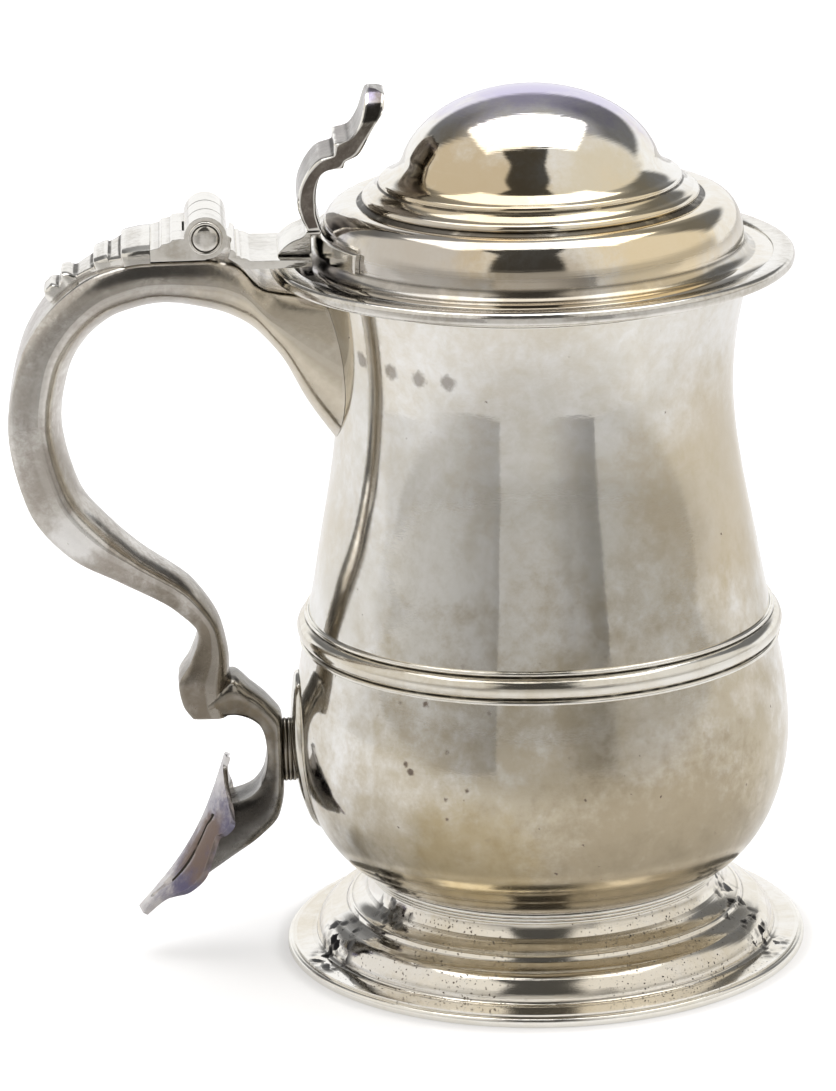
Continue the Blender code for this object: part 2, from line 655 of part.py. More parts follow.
def make_scroll():
    """C scroll below the spur, cut off where the shield lies on its free end."""
    sides = [(0.0, -0.78), (0.22, -1.0), (0.70, -0.96), (1.0, -0.72)]
    sides += [(share, -breadth) for share, breadth in reversed(sides)]
    rings = []
    for hollow_x, hollow_z, round_x, round_z, width in ease_rows(scroll_rows(), 2):
        dx = round_x - hollow_x
        dz = round_z - hollow_z
        rings.append([(hollow_x + dx * s, b * width / 2, hollow_z + dz * s) for s, b in sides])
    scroll = add_piece("handle_lower_scroll", loft("handle_lower_scroll", rings), DARK)
    low = -TERMINAL_THICKNESS - SOLDER_GAP
    room = [(-0.2, 1.0)] + [(share, 1.0) for share, breadth in SHIELD_STATIONS] + [(1.2, 1.0)]
    clearance = shield("terminal_clearance", low, TERMINAL_LENGTH, room)
    combine(scroll, add_cutter("terminal_clearance", clearance), "DIFFERENCE")
    add_piece("handle_terminal", shield("handle_terminal", -TERMINAL_THICKNESS, 0.0, SHIELD_STATIONS), DARK)


SHIELD_STATIONS = [(0.00, 0.16), (0.10, 0.36), (0.20, 0.86), (0.27, 1.00), (0.34, 0.92), (0.39, 0.80)]
SHIELD_STATIONS += [(0.50, 0.88), (0.61, 0.96), (0.73, 0.86), (0.81, 0.62), (0.86, 0.47), (0.93, 0.38)]
SHIELD_STATIONS += [(1.00, 0.33)]
SHIELD_TILT = math.radians(30)
SHIELD_COLUMNS = (-1.0, -0.8, -0.5, 0.0, 0.5, 0.8, 1.0)


def shield(name, low, high, stations):
    """Convex plate between two offsets along its outward normal; the stations give the share of its length
    and of its width."""
    face, level = lower_anchor()
    top = Vector((face - TERMINAL_OUT, 0.0, level - SOLDER_GAP))
    down = Vector((-math.sin(SHIELD_TILT), 0.0, -math.cos(SHIELD_TILT)))
    out = Vector((-math.cos(SHIELD_TILT), 0.0, math.sin(SHIELD_TILT)))
    rings = []
    for along, breadth in stations:
        half = breadth * TERMINAL_WIDTH / 2
        dish = -TERMINAL_DISH * math.sin(math.pi * min(1.0, max(0.0, along)))
        row = []
        for share in SHIELD_COLUMNS:
            y = half * share
            curl = math.sqrt(TERMINAL_CURVE ** 2 - y * y) - TERMINAL_CURVE
            row.append((y, dish + curl))
        base = top + down * (TERMINAL_LENGTH * along)
        front = [base + out * (n + high) + Vector((0, y, 0)) for y, n in row]
        back = [base + out * (n + low) + Vector((0, y, 0)) for y, n in reversed(row)]
        rings.append(front + back)
    return loft(name, rings)


# Hinge

def make_hinge():
    half = BARREL_LENGTH / 2
    lid_half = LID_KNUCKLE_LENGTH / 2
    slot_half = lid_half + RUNNING_GAP
    bore = PIN_RADIUS + SOLDER_GAP
    centre = (HINGE_X, 0.0, HINGE_Z)
    along = (0, 1, 0)
    seat = HANDLE_CROWN + SOLDER_GAP
    back = HINGE_X - HINGE_BLOCK_LENGTH
    run = HINGE_BLOCK_LENGTH - KNUCKLE_RADIUS
    fall = HINGE_BLOCK_FALL
    outline = [(HINGE_X, seat), (HINGE_X, HINGE_Z), (back + run * 0.89, HINGE_Z)]
    outline += [(back + run * 0.57, HINGE_Z - fall * 0.23), (back + run * 0.31, HINGE_Z - fall * 0.64)]
    outline += [(back, HINGE_Z - fall), (back, seat)]
    piece = add_piece("hinge_block", slab("hinge_block", outline, half), BRIGHT)
    barrel = rod("handle_barrel", KNUCKLE_RADIUS, BARREL_LENGTH, along, centre)
    slot = rod("lid_knuckle_slot", KNUCKLE_RADIUS + RUNNING_GAP, 2 * slot_half, along, centre)
    hole = rod("pin_bore", bore, 2 * BARREL_LENGTH, along, centre)
    pin_bore = add_cutter("pin_bore", hole)
    combine(piece, add_cutter("handle_barrel", barrel), "UNION")
    combine(piece, add_cutter("lid_knuckle_slot", slot), "DIFFERENCE")
    combine(piece, pin_bore, "DIFFERENCE")

    add_piece("hinge_pin", rod("hinge_pin", PIN_RADIUS, BARREL_LENGTH, along, centre), BRIGHT)
    for name, side in (("pin_cap_near", -1), ("pin_cap_far", 1)):
        shape = bmesh.new()
        bmesh.ops.create_cone(shape, cap_ends=True, segments=ROUND_SIDES, radius1=PIN_CAP_RADIUS,
                              radius2=PIN_CAP_RADIUS * 0.72, depth=PIN_CAP_HEIGHT)
        turning = Matrix.Rotation(math.radians(-90 * side), 4, "X")
        place = (HINGE_X, side * (half + SOLDER_GAP + PIN_CAP_HEIGHT / 2), HINGE_Z)
        shape.transform(Matrix.Translation(place) @ turning)
        add_piece(name, finish_mesh(name, shape), BRIGHT)
    return pin_bore


DROP_STATIONS = [(0.0, 1.00, 1.0), (0.22, 0.94, 0.94), (0.24, 0.65, 0.90), (0.34, 0.59, 0.72)]
DROP_STATIONS += [(0.36, 0.76, 0.70), (0.47, 0.74, 0.64), (0.50, 0.32, 0.58), (0.66, 0.29, 0.48)]
DROP_STATIONS += [(0.70, 0.65, 0.47), (0.75, 0.91, 0.46), (0.80, 0.56, 0.43), (0.84, 0.47, 0.42)]
DROP_STATIONS += [(0.88, 0.79, 0.41), (0.96, 0.79, 0.39), (1.0, 0.41, 0.34)]


def make_drop():
    """Stepped moulding laid along the handle's back, from the hinge block downwards."""
    line = [(row[0], row[1]) for row in ease_rows(handle_rows(), 8)]
    begin = HINGE_X - HINGE_BLOCK_LENGTH - SOLDER_GAP
    first = next(i for i, point in enumerate(line) if point[0] < begin)
    path = [(begin, line[first][1])] + line[first:]
    rings = []
    for share, height, breadth in DROP_STATIONS:
        (x, z), (tx, tz) = along_path(path, share * DROP_LENGTH)
        nx, nz = tz, -tx
        half = BARREL_LENGTH / 2 * breadth
        low = SOLDER_GAP
        tall = DROP_TALL * height
        shape = [(-half, low), (-half, tall * 0.8), (-half * 0.8, tall + low), (half * 0.8, tall + low)]
        shape += [(half, tall * 0.8), (half, low)]
        rings.append([(x + nx * up, y, z + nz * up) for y, up in shape])
    add_piece("hinge_drop", loft("hinge_drop", rings), BRIGHT)


def along_path(path, distance):
    """Point and unit direction at a distance along a chain of points."""
    for (x0, z0), (x1, z1) in zip(path, path[1:]):
        span = math.hypot(x1 - x0, z1 - z0)
        if distance <= span:
            t = distance / span
            return (x0 + (x1 - x0) * t, z0 + (z1 - z0) * t), ((x1 - x0) / span, (z1 - z0) / span)
        distance -= span
    raise ValueError("the drop is longer than the handle's back")


def plate_low():
    """Underside of the lid's hinge plate, just clear of the flange at the saddle."""
    return FLANGE_TOP + HINGE_PLATE_LIFT + SOLDER_GAP


def make_lid_plate(pin_bore):
    """Plate from the middle lug over the flange to the saddle on the lid's shoulder."""
    low = plate_low()
    top = low + HINGE_PLATE_THICKNESS
    saddle_face = -(SHOULDER_RADIUS + 2 * SOLDER_GAP + SADDLE_THICKNESS)
    heel = HINGE_X + KNUCKLE_RADIUS + RUNNING_GAP
    outline = [(saddle_face - SOLDER_GAP, low), (saddle_face - SOLDER_GAP, top)]
    reed = PLATE_REED
    outline += [(heel + reed * 3.7, top + reed * 0.2), (heel + reed * 2, top + reed)]
    outline += [(heel + reed * 1.3, top + reed), (heel + reed, top + reed * 2.2)]
    outline += [(heel + reed / 4, top + reed * 2.5)]
    outline += [(heel - reed / 4, HANDLE_CROWN + 2 * SOLDER_GAP), (heel + reed * 3, low)]
    piece = add_piece("lid_hinge_plate", slab("lid_hinge_plate", outline, HINGE_PLATE_WIDTH / 2), BRIGHT)
    lid_half = LID_KNUCKLE_LENGTH / 2
    centre = (HINGE_X, 0.0, HINGE_Z)
    knuckle = rod("lid_knuckle", KNUCKLE_RADIUS, LID_KNUCKLE_LENGTH, (0, 1, 0), centre)
    neck_low = HINGE_Z - KNUCKLE_RADIUS * 0.92
    neck_end = heel + reed / 2
    neck = [(HINGE_X, neck_low), (neck_end, neck_low), (neck_end, HINGE_Z - KNUCKLE_RADIUS * 0.48)]
    neck += [(HINGE_X, HINGE_Z)]
    combine(piece, add_cutter("lid_knuckle", knuckle), "UNION")
    combine(piece, add_cutter("lid_neck", slab("lid_neck", neck, lid_half * 0.98)), "UNION")
    combine(piece, pin_bore, "DIFFERENCE")


def make_saddle():
    """Curved plate on the lid's shoulder, cut from a turned band."""
    steep = math.degrees(math.asin(SADDLE_TALL / SHOULDER_RISE))
    inside = shoulder_curve(SOLDER_GAP, 0, steep, 3)
    outside = shoulder_curve(SOLDER_GAP + SADDLE_THICKNESS, steep * 0.9, 0, 3)
    saddle = turned_piece("lid_saddle", inside + outside, BRIGHT)
    span = FLANGE_RADIUS
    outer = outside[-1][0]
    low = SHOULDER_LOW - SADDLE_TALL
    high = SHOULDER_LOW + 2 * SADDLE_TALL
    back_edge = -math.sqrt(outer * outer - SADDLE_REACH * SADDLE_REACH)
    keep = block("saddle_span", (-span, -span, low), (back_edge, span, high))
    combine(saddle, add_cutter("saddle_span", keep), "INTERSECT")
    return max(z for r, z in inside + outside)


def make_thumbpiece(saddle_top):
    """Wedge on the hinge plate and the round-topped scroll that stands on it."""
    low = plate_low() + HINGE_PLATE_THICKNESS + SOLDER_GAP
    ledge = saddle_top + SOLDER_GAP
    top = ledge + WEDGE_LIP
    face = -(SHOULDER_RADIUS + 3 * SOLDER_GAP + SADDLE_THICKNESS)
    overhang = face + WEDGE_OVERHANG
    toe = face - WEDGE_REACH
    slope_top = (face - WEDGE_REACH * 0.34, top - (top - low) * 0.29)
    wedge = [(face, low), (face, ledge), (overhang, ledge), (overhang, top)]
    wedge += [(face - WEDGE_REACH * 0.135, top), slope_top, (toe, low)]
    add_piece("thumbpiece_base", slab("thumbpiece_base", wedge, THUMB_WIDTH / 2), BRIGHT)

    foot = top + SOLDER_GAP
    unit = THUMB_TALL
    stem_front = [(0.0, 0.0), (-0.032, 0.14), (-0.029, 0.26), (0.003, 0.39), (0.080, 0.444)]
    crest_front = [(0.280, 0.54), (0.389, 0.72), (0.482, 0.871), (0.492, 0.952)]
    crest_back = [(0.379, 1.0), (0.357, 0.965), (0.302, 0.772), (0.215, 0.656)]
    stem_back = [(0.000, 0.520), (-0.102, 0.405), (-0.156, 0.273), (-0.166, 0.183), (-0.138, 0.084)]
    outline = ease_rows(stem_front, 2) + [(0.170, 0.450), (0.190, 0.495)] + ease_rows(crest_front, 2)
    outline += ease_rows(crest_back, 2) + [(0.113, 0.630), (0.109, 0.559)] + ease_rows(stem_back, 2)
    outline += [(-0.100, 0.0)]
    points = [(overhang + x * unit, foot + z * unit) for x, z in outline]
    thumb = add_piece("thumbpiece", slab("thumbpiece", points, THUMB_WIDTH / 2 + SOLDER_GAP), DARK)
    half = THUMB_WIDTH / 2
    spring = foot + unit * 0.74
    arch = ellipse((0.0, spring), half, unit * 0.255, 0, 180, 12)
    arch += [(-half, foot - half), (half, foot - half)]
    tongue = loft("thumb_round_top", [[(x, y, z) for y, z in arch] for x in (-FLANGE_RADIUS, 0.0)])
    combine(thumb, add_cutter("thumb_round_top", tongue), "INTERSECT")


LID_PIECES = ("lid_shell", "lid_rim_wire", "lid_bezel", "lid_hinge_plate", "lid_saddle", "thumbpiece_base",
              "thumbpiece")


def hang_lid():
    """Put the lid's pieces on an empty at the hinge pin, so that they turn about it."""
    pivot = bpy.data.objects.new("lid_pivot", None)
    pivot.location = (HINGE_X, 0.0, HINGE_Z)
    PARTS.objects.link(pivot)
    bpy.context.view_layer.update()
    for name in LID_PIECES:
        piece = bpy.data.objects[name]
        piece.parent = pivot
        piece.matrix_parent_inverse = pivot.matrix_world.inverted()


make_body()
make_lip()
make_girdle()
make_foot()
make_lid()
make_handle()
make_lower_fixing()
make_scroll()
bore_tool = make_hinge()
make_drop()
make_lid_plate(bore_tool)
make_thumbpiece(make_saddle())
hang_lid()
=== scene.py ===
import math

import bmesh
import bpy
from mathutils import Matrix, Vector, noise


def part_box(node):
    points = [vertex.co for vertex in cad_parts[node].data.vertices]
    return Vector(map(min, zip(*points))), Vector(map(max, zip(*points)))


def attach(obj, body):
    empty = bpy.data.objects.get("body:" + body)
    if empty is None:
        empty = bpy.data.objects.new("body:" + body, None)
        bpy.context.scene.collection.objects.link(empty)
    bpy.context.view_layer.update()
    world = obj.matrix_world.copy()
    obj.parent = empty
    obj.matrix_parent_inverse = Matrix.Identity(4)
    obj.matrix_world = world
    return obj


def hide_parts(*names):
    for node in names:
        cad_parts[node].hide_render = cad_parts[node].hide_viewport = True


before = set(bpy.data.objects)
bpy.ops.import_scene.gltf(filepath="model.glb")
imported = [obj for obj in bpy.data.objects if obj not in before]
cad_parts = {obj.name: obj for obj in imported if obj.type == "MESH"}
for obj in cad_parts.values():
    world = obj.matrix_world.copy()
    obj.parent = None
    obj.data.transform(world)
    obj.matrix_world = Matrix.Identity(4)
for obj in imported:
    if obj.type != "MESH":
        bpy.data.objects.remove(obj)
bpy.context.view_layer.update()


# Body
# One sheet of silver raised with hammers into a baluster, planished smooth and polished by hand.
# Every other piece of the vessel is soldered to it. Long use has left it soft, stained and pitted.
body_low, body_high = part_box("body_vessel")
BASE_HEIGHT = body_low.z
MOUTH_HEIGHT = body_high.z
BELLY_RADIUS = body_high.x
BASE_FLAT_RADIUS = 0.0342
BELLY_HEIGHT = 0.0500
TAPER_RADIUS = 0.0490
TAPER_HEIGHT = 0.0890
TAPER_LEAN = 1.15
NECK_RADIUS = 0.0435
NECK_HEIGHT = 0.1280
MOUTH_RADIUS = 0.0486
BODY_WALL = 0.0009
HAMMER_DEPTH = 0.00007
HAMMER_SPACING = 0.022
SMALL_DENT_RATE = 2.3
SMALL_DENT_SHARE = 0.5
TURN_STEPS = 192
WELD_REACH = 1e-7
SHARP_ANGLE = math.radians(38)
HAIR = 0.00003


def bend(t, step, leaving, arriving):
    """Part t of a smooth step that leaves with one slope and arrives with another."""
    return step * t * t * (3 - 2 * t) + t * (1 - t) * (1 - t) * leaving + t * t * (t - 1) * arriving


def wall_radius(height):
    """Outer radius of the body at a height."""
    if height <= BELLY_HEIGHT:
        share = min(1.0, (BELLY_HEIGHT - height) / (BELLY_HEIGHT - BASE_HEIGHT))
        return BASE_FLAT_RADIUS + (BELLY_RADIUS - BASE_FLAT_RADIUS) * math.sqrt(1 - share * share)
    if height >= NECK_HEIGHT:
        share = (height - NECK_HEIGHT) / (MOUTH_HEIGHT - NECK_HEIGHT)
        return NECK_RADIUS + (MOUTH_RADIUS - NECK_RADIUS) * share * share
    lean = (NECK_RADIUS - BELLY_RADIUS) / (NECK_HEIGHT - BELLY_HEIGHT) * TAPER_LEAN
    if height < TAPER_HEIGHT:
        span = TAPER_HEIGHT - BELLY_HEIGHT
        t = (height - BELLY_HEIGHT) / span
        return BELLY_RADIUS + bend(t, TAPER_RADIUS - BELLY_RADIUS, 0.0, span * lean)
    span = NECK_HEIGHT - TAPER_HEIGHT
    t = (height - TAPER_HEIGHT) / span
    return TAPER_RADIUS + bend(t, NECK_RADIUS - TAPER_RADIUS, span * lean, 0.0)


def ellipse(centre, across, up, first, last, count):
    """Points on an ellipse from the first angle to the last, both in degrees."""
    angles = [math.radians(first + (last - first) * i / count) for i in range(count + 1)]
    return [(centre[0] + across * math.cos(a), centre[1] + up * math.sin(a)) for a in angles]


def arc(start, end, bulge, count):
    """Points after start, up to end, on an arc that rises bulge half chords to the left of travel."""
    x0, y0 = start
    x1, y1 = end
    half = math.hypot(x1 - x0, y1 - y0) / 2
    normal = (-(y1 - y0) / (2 * half), (x1 - x0) / (2 * half))
    lift = bulge * half - half * (1 + bulge * bulge) / (2 * bulge)
    cx = (x0 + x1) / 2 + normal[0] * lift
    cy = (y0 + y1) / 2 + normal[1] * lift
    radius = math.hypot(x0 - cx, y0 - cy)
    first = math.atan2(y0 - cy, x0 - cx)
    sweep = -4 * math.atan(bulge)
    angles = [first + sweep * i / count for i in range(1, count + 1)]
    return [(cx + radius * math.cos(a), cy + radius * math.sin(a)) for a in angles]


def wall_line(low, high, count, offset):
    """Body radius plus an offset, from a low height to a high one."""
    heights = [low + (high - low) * i / count for i in range(count + 1)]
    return [(wall_radius(z) + offset, z) for z in heights]


def belly_line(inset, count):
    """Lower belly from the flat base out to the widest point, set in by a wall."""
    across = BELLY_RADIUS - BASE_FLAT_RADIUS - inset
    up = BELLY_HEIGHT - BASE_HEIGHT - inset
    return ellipse((BASE_FLAT_RADIUS, BELLY_HEIGHT), across, up, -90, 0, count)


def outer_side(offset, top):
    """Outside of the body from its flat base up to a height, moved out by an offset."""
    side = [(radius + offset, height) for radius, height in belly_line(0.0, 24)]
    side += wall_line(BELLY_HEIGHT, NECK_HEIGHT, 44, offset)[1:]
    return side + wall_line(NECK_HEIGHT, top, 20, offset)[1:]


def turn(outline, closed=True):
    """Turn an outline of (radius, height) pairs about the upright axis."""
    shape = bmesh.new()
    points = [shape.verts.new((radius, 0.0, height)) for radius, height in outline]
    pairs = list(zip(points, points[1:]))
    if closed:
        pairs.append((points[-1], points[0]))
    edges = [shape.edges.new(pair) for pair in pairs]
    bmesh.ops.spin(shape, geom=points + edges, axis=(0, 0, 1), cent=(0, 0, 0), steps=TURN_STEPS,
                   angle=math.tau, use_merge=True)
    bmesh.ops.remove_doubles(shape, verts=shape.verts, dist=WELD_REACH)
    return shape


def keep(name, shape):
    """Keep a shape as a mesh."""
    mesh = bpy.data.meshes.new(name)
    shape.to_mesh(mesh)
    shape.free()
    return mesh


def store(name, shape):
    """Turn the faces outwards, note ridges and corners for the wear, and keep the shape as a mesh."""
    bmesh.ops.recalc_face_normals(shape, faces=shape.faces)
    shape.normal_update()
    ridge = shape.verts.layers.float.new("ridge")
    for point in shape.verts:
        ways = [edge.other_vert(point).co - point.co for edge in point.link_edges]
        rise = sum(way.normalized().dot(point.normal) for way in ways)
        point[ridge] = -rise / max(1, len(ways))
    mesh = keep(name, shape)
    mesh.shade_smooth()
    mesh.set_sharp_from_angle(angle=SHARP_ANGLE)
    return mesh


def put(name, data):
    """Put a mesh, a lamp or a camera in the scene under a name."""
    thing = bpy.data.objects.new(name, data)
    bpy.context.scene.collection.objects.link(thing)
    return thing


def show(mesh, material):
    """Put a mesh in the scene as a piece of its own name."""
    mesh.materials.append(material)
    return put(mesh.name, mesh)


def new_group(name, inputs, outputs):
    """Empty shader group with named sockets; returns it with what it is given and what it gives."""
    group = bpy.data.node_groups.new(name, "ShaderNodeTree")
    for way, sockets in (("INPUT", inputs), ("OUTPUT", outputs)):
        for label, kind in sockets.items():
            group.interface.new_socket(label, in_out=way, socket_type="NodeSocket" + kind)
    return group, group.nodes.new("NodeGroupInput").outputs, group.nodes.new("NodeGroupOutput").inputs


def give(group, result, **values):
    """Link what a group works out to its named outputs."""
    for label, value in values.items():
        group.links.new(value, result[label])
    return group


def place(tree, kind, inputs, **settings):
    """Add a node with its own settings, and give each input a value or a link."""
    node = tree.nodes.new("ShaderNode" + kind)
    for key, value in settings.items():
        setattr(node, key, value)
    for key, value in inputs.items():
        if isinstance(value, bpy.types.NodeSocket):
            tree.links.new(value, node.inputs[key])
        else:
            node.inputs[key].default_value = value
    return node


def sums(tree, operation, first, second=0.0):
    """One step of arithmetic between two values or links."""
    return place(tree, "Math", {0: first, 1: second}, operation=operation).outputs[0]


def times(tree, first, second):
    """Product of two values or links."""
    return sums(tree, "MULTIPLY", first, second)


def plus(tree, first, second):
    """Sum of two values or links."""
    return sums(tree, "ADD", first, second)


def ramp(tree, value, low, high, low_out=0.0, high_out=1.0):
    """Smooth step of a value between two marks."""
    inputs = {"Value": value, "From Min": low, "From Max": high, "To Min": low_out, "To Max": high_out}
    return place(tree, "MapRange", inputs, interpolation_type="SMOOTHSTEP").outputs["Result"]


def tint(tree, share, first, second):
    """Colour between two colours."""
    return place(tree, "Mix", {0: share, 6: first, 7: second}, data_type="RGBA").outputs[2]


def cloudy(tree, at, scale, detail, roughness=0.5, distortion=0.0):
    """Soft uneven value and colour over a place."""
    inputs = {"Vector": at, "Scale": scale, "Detail": detail, "Roughness": roughness,
              "Distortion": distortion}
    return place(tree, "TexNoise", inputs).outputs


def away(group, take):
    """Distance from a group's centre as a share of its reach."""
    apart = place(group, "VectorMath", {0: take["Vector"], 1: take["Centre"]}, operation="DISTANCE")
    return sums(group, "DIVIDE", apart.outputs["Value"], take["Reach"])


FINE_CLOUDS = 9.0
WIDE_CLOUDS = 0.43
TONING_STEP = (0.84, 1.18)
FILM_STEP = (0.40, 0.68)


def tarnish_clouds():
    """Soft clouds of grey toning, with a thinner coloured film drifting over them."""
    inputs = {"Vector": "Vector", "Scale": "Float", "Share": "Float", "Mottle": "Float", "Clean": "Color",
              "Toned": "Color", "Film": "Color", "Film Share": "Float"}
    group, take, result = new_group("tarnish_clouds", inputs, {"Colour": "Color", "Toning": "Float"})
    at = take["Vector"]
    fine = cloudy(group, at, times(group, take["Scale"], FINE_CLOUDS), 6.0, 0.72, 0.3)["Fac"]
    uneven = times(group, sums(group, "SUBTRACT", fine, 0.5), take["Mottle"])
    clouds = plus(group, cloudy(group, at, take["Scale"], 7.0, 0.62, 0.5)["Fac"], uneven)
    toning = ramp(group, plus(group, clouds, take["Share"]), *TONING_STEP)
    drift = cloudy(group, at, times(group, take["Scale"], WIDE_CLOUDS), 4.0, 0.55, 0.8)["Fac"]
    film = times(group, ramp(group, plus(group, drift, uneven), *FILM_STEP), take["Film Share"])
    colour = tint(group, film, tint(group, toning, take["Clean"], take["Toned"]), take["Film"])
    return give(group, result, Colour=colour, Toning=toning)


WEAR_GRAIN = 260.0
RIDGE_STEP = (0.012, 0.070)
CORNER_STEP = (-0.015, -0.110)
PATCHY_STEP = (0.2, 0.5, 0.4, 1.0)


def edge_wear():
    """Bright rubbed ridges and dark dirt in corners, from the ridges noted on the mesh."""
    inputs = {"Vector": "Vector", "Colour": "Color", "Bright": "Color", "Dirt": "Color", "Wear": "Float",
              "Grime": "Float"}
    group, take, result = new_group("edge_wear", inputs, {"Colour": "Color", "Dirty": "Float"})
    ridge = place(group, "Attribute", {}, attribute_name="ridge").outputs["Fac"]
    patchy = cloudy(group, take["Vector"], WEAR_GRAIN, 3.0)["Fac"]
    rubbed = times(group, ramp(group, times(group, ridge, patchy), *RIDGE_STEP), take["Wear"])
    sunk = times(group, ramp(group, ridge, *CORNER_STEP), ramp(group, patchy, *PATCHY_STEP))
    dirty = times(group, sunk, take["Grime"])
    colour = tint(group, dirty, tint(group, rubbed, take["Colour"], take["Bright"]), take["Dirt"])
    return give(group, result, Colour=colour, Dirty=dirty)


STREAK_STEP = (0.35, 0.7)


def polish_lines():
    """Fine scratches of years of rubbing, longer one way than the other."""
    inputs = {"Vector": "Vector", "Along": "Float", "Across": "Float"}
    group, take, result = new_group("polish_lines", inputs, {"Height": "Float", "Streak": "Float"})
    stretch = place(group, "CombineXYZ", {"X": take["Along"], "Y": take["Along"], "Z": take["Across"]})
    at = place(group, "VectorMath", {0: take["Vector"], 1: stretch.outputs[0]}, operation="MULTIPLY")
    lines = cloudy(group, at.outputs[0], 1.0, 3.0, 0.7)["Fac"]
    return give(group, result, Height=lines, Streak=ramp(group, lines, *STREAK_STEP))


PATCH_STEP = (0.62, 1.12)
PATCH_FADE = (0.0, 0.25)


def stain_and_painted_light_patch():
    """One patch with a ragged edge round a centre, for staining and for painted highlights and reflections.
    """
    inputs = {"Vector": "Vector", "Centre": "Vector", "Reach": "Float", "Grain": "Float", "Fill": "Float",
              "Colour": "Color", "Patch Colour": "Color", "Share": "Float"}
    group, take, result = new_group("stain_and_painted_light_patch", inputs, {"Colour": "Color", "Mask": "Float"})
    ragged = cloudy(group, take["Vector"], take["Grain"], 6.0, 0.68)["Fac"]
    near = sums(group, "SUBTRACT", 1.0, away(group, take))
    filled = sums(group, "MINIMUM", near, take["Fill"])
    mask = ramp(group, plus(group, filled, ragged), *PATCH_STEP)
    share = times(group, times(group, mask, ramp(group, near, *PATCH_FADE)), take["Share"])
    return give(group, result, Colour=tint(group, share, take["Colour"], take["Patch Colour"]), Mask=share)


PIT_FADE = (1.0, 0.55)
PIT_STEP = (0.0, 0.6, 0.0, 0.93)
PIT_RAGGED = 900.0
PIT_SHAKE = (0.0012, 0.0012, 0.0012)


def corrosion_pits():
    """Scattered round pits within reach of a centre."""
    inputs = {"Vector": "Vector", "Centre": "Vector", "Reach": "Float", "Spacing": "Float", "Size": "Float"}
    group, take, result = new_group("corrosion_pits", inputs, {"Mask": "Float"})
    near = ramp(group, away(group, take), *PIT_FADE)
    uneven = cloudy(group, take["Vector"], PIT_RAGGED, 2.0)["Color"]
    shake = {0: uneven, 1: PIT_SHAKE, 2: take["Vector"]}
    shaken = place(group, "VectorMath", shake, operation="MULTIPLY_ADD").outputs[0]
    cells = place(group, "TexVoronoi", {"Vector": shaken, "Scale": take["Spacing"]}).outputs
    chance = place(group, "SeparateColor", {"Color": cells["Color"]}).outputs["Red"]
    width = times(group, take["Size"], chance)
    dots = sums(group, "DIVIDE", sums(group, "SUBTRACT", width, cells["Distance"]), take["Size"])
    return give(group, result, Mask=times(group, ramp(group, dots, *PIT_STEP), near))


TARNISH = tarnish_clouds()
WEAR = edge_wear()
LINES = polish_lines()
STAIN_AND_PAINTED_LIGHT = stain_and_painted_light_patch()
PITS = corrosion_pits()
RUBBED_SILVER = (0.90, 0.88, 0.83, 1.0)
OLD_DIRT = (0.050, 0.043, 0.034, 1.0)
PIT_BROWN = (0.19, 0.15, 0.12)
PIT_DULLING = 0.4
DIRT_DULLING = 0.35
STREAK_DULLING = 0.4
BUMP_REACH = 0.001


def use_group(tree, group, inputs):
    """Place a shader group in a material with its own values."""
    return place(tree, "Group", inputs, node_tree=group).outputs


def new_material(name):
    """Plain material; returns it with its nodes and its shader's inputs."""
    material = bpy.data.materials.new(name)
    material.use_nodes = True
    return material, material.node_tree, material.node_tree.nodes["Principled BSDF"].inputs


def silver(name, clean, toned, film, cloud, toning, film_share, gloss, haze, wear, lines,
           grime=0.9, mottle=0.35, scratch=0.04, stains_and_painted_light=(), pits=()):
    """Old silver: tarnish, staining and painted light in patches, worn edges, dirt and polishing lines over a
    mirror of some gloss.
    """
    material, tree, shader = new_material(name)
    shader["Metallic"].default_value = 1.0
    where = place(tree, "TexCoord", {}).outputs["Object"]
    clouds = use_group(tree, TARNISH, {"Vector": where, "Scale": cloud, "Share": toning, "Mottle": mottle,
                                       "Clean": (*clean, 1.0), "Toned": (*toned, 1.0), "Film": (*film, 1.0),
                                       "Film Share": film_share})
    colour = clouds["Colour"]
    dull = times(tree, clouds["Toning"], haze)
    for centre, reach, grain, fill, patch_colour, share, dulling in stains_and_painted_light:
        patch = use_group(tree, STAIN_AND_PAINTED_LIGHT, {"Vector": where, "Centre": centre, "Reach": reach, "Grain": grain,
                                        "Fill": fill, "Colour": colour, "Patch Colour": (*patch_colour, 1.0),
                                        "Share": share})
        colour = patch["Colour"]
        dull = plus(tree, dull, times(tree, patch["Mask"], dulling))
    for centre, reach, spacing, size, rust in pits:
        pit = use_group(tree, PITS, {"Vector": where, "Centre": centre, "Reach": reach, "Spacing": spacing,
                                     "Size": size})["Mask"]
        colour = tint(tree, pit, colour, (*rust, 1.0))
        dull = plus(tree, dull, times(tree, pit, PIT_DULLING))
    worn = use_group(tree, WEAR, {"Vector": where, "Colour": colour, "Bright": RUBBED_SILVER,
                                  "Dirt": OLD_DIRT, "Wear": wear, "Grime": grime})
    tree.links.new(worn["Colour"], shader["Base Color"])
    polish = use_group(tree, LINES, {"Vector": where, "Along": lines[0], "Across": lines[1]})
    dull = plus(tree, dull, times(tree, worn["Dirty"], DIRT_DULLING))
    dull = plus(tree, dull, times(tree, polish["Streak"], haze * STREAK_DULLING))
    tree.links.new(plus(tree, dull, gloss), shader["Roughness"])
    bump = place(tree, "Bump", {"Height": polish["Height"], "Strength": scratch, "Distance": BUMP_REACH})
    tree.links.new(bump.outputs["Normal"], shader["Normal"])
    return material


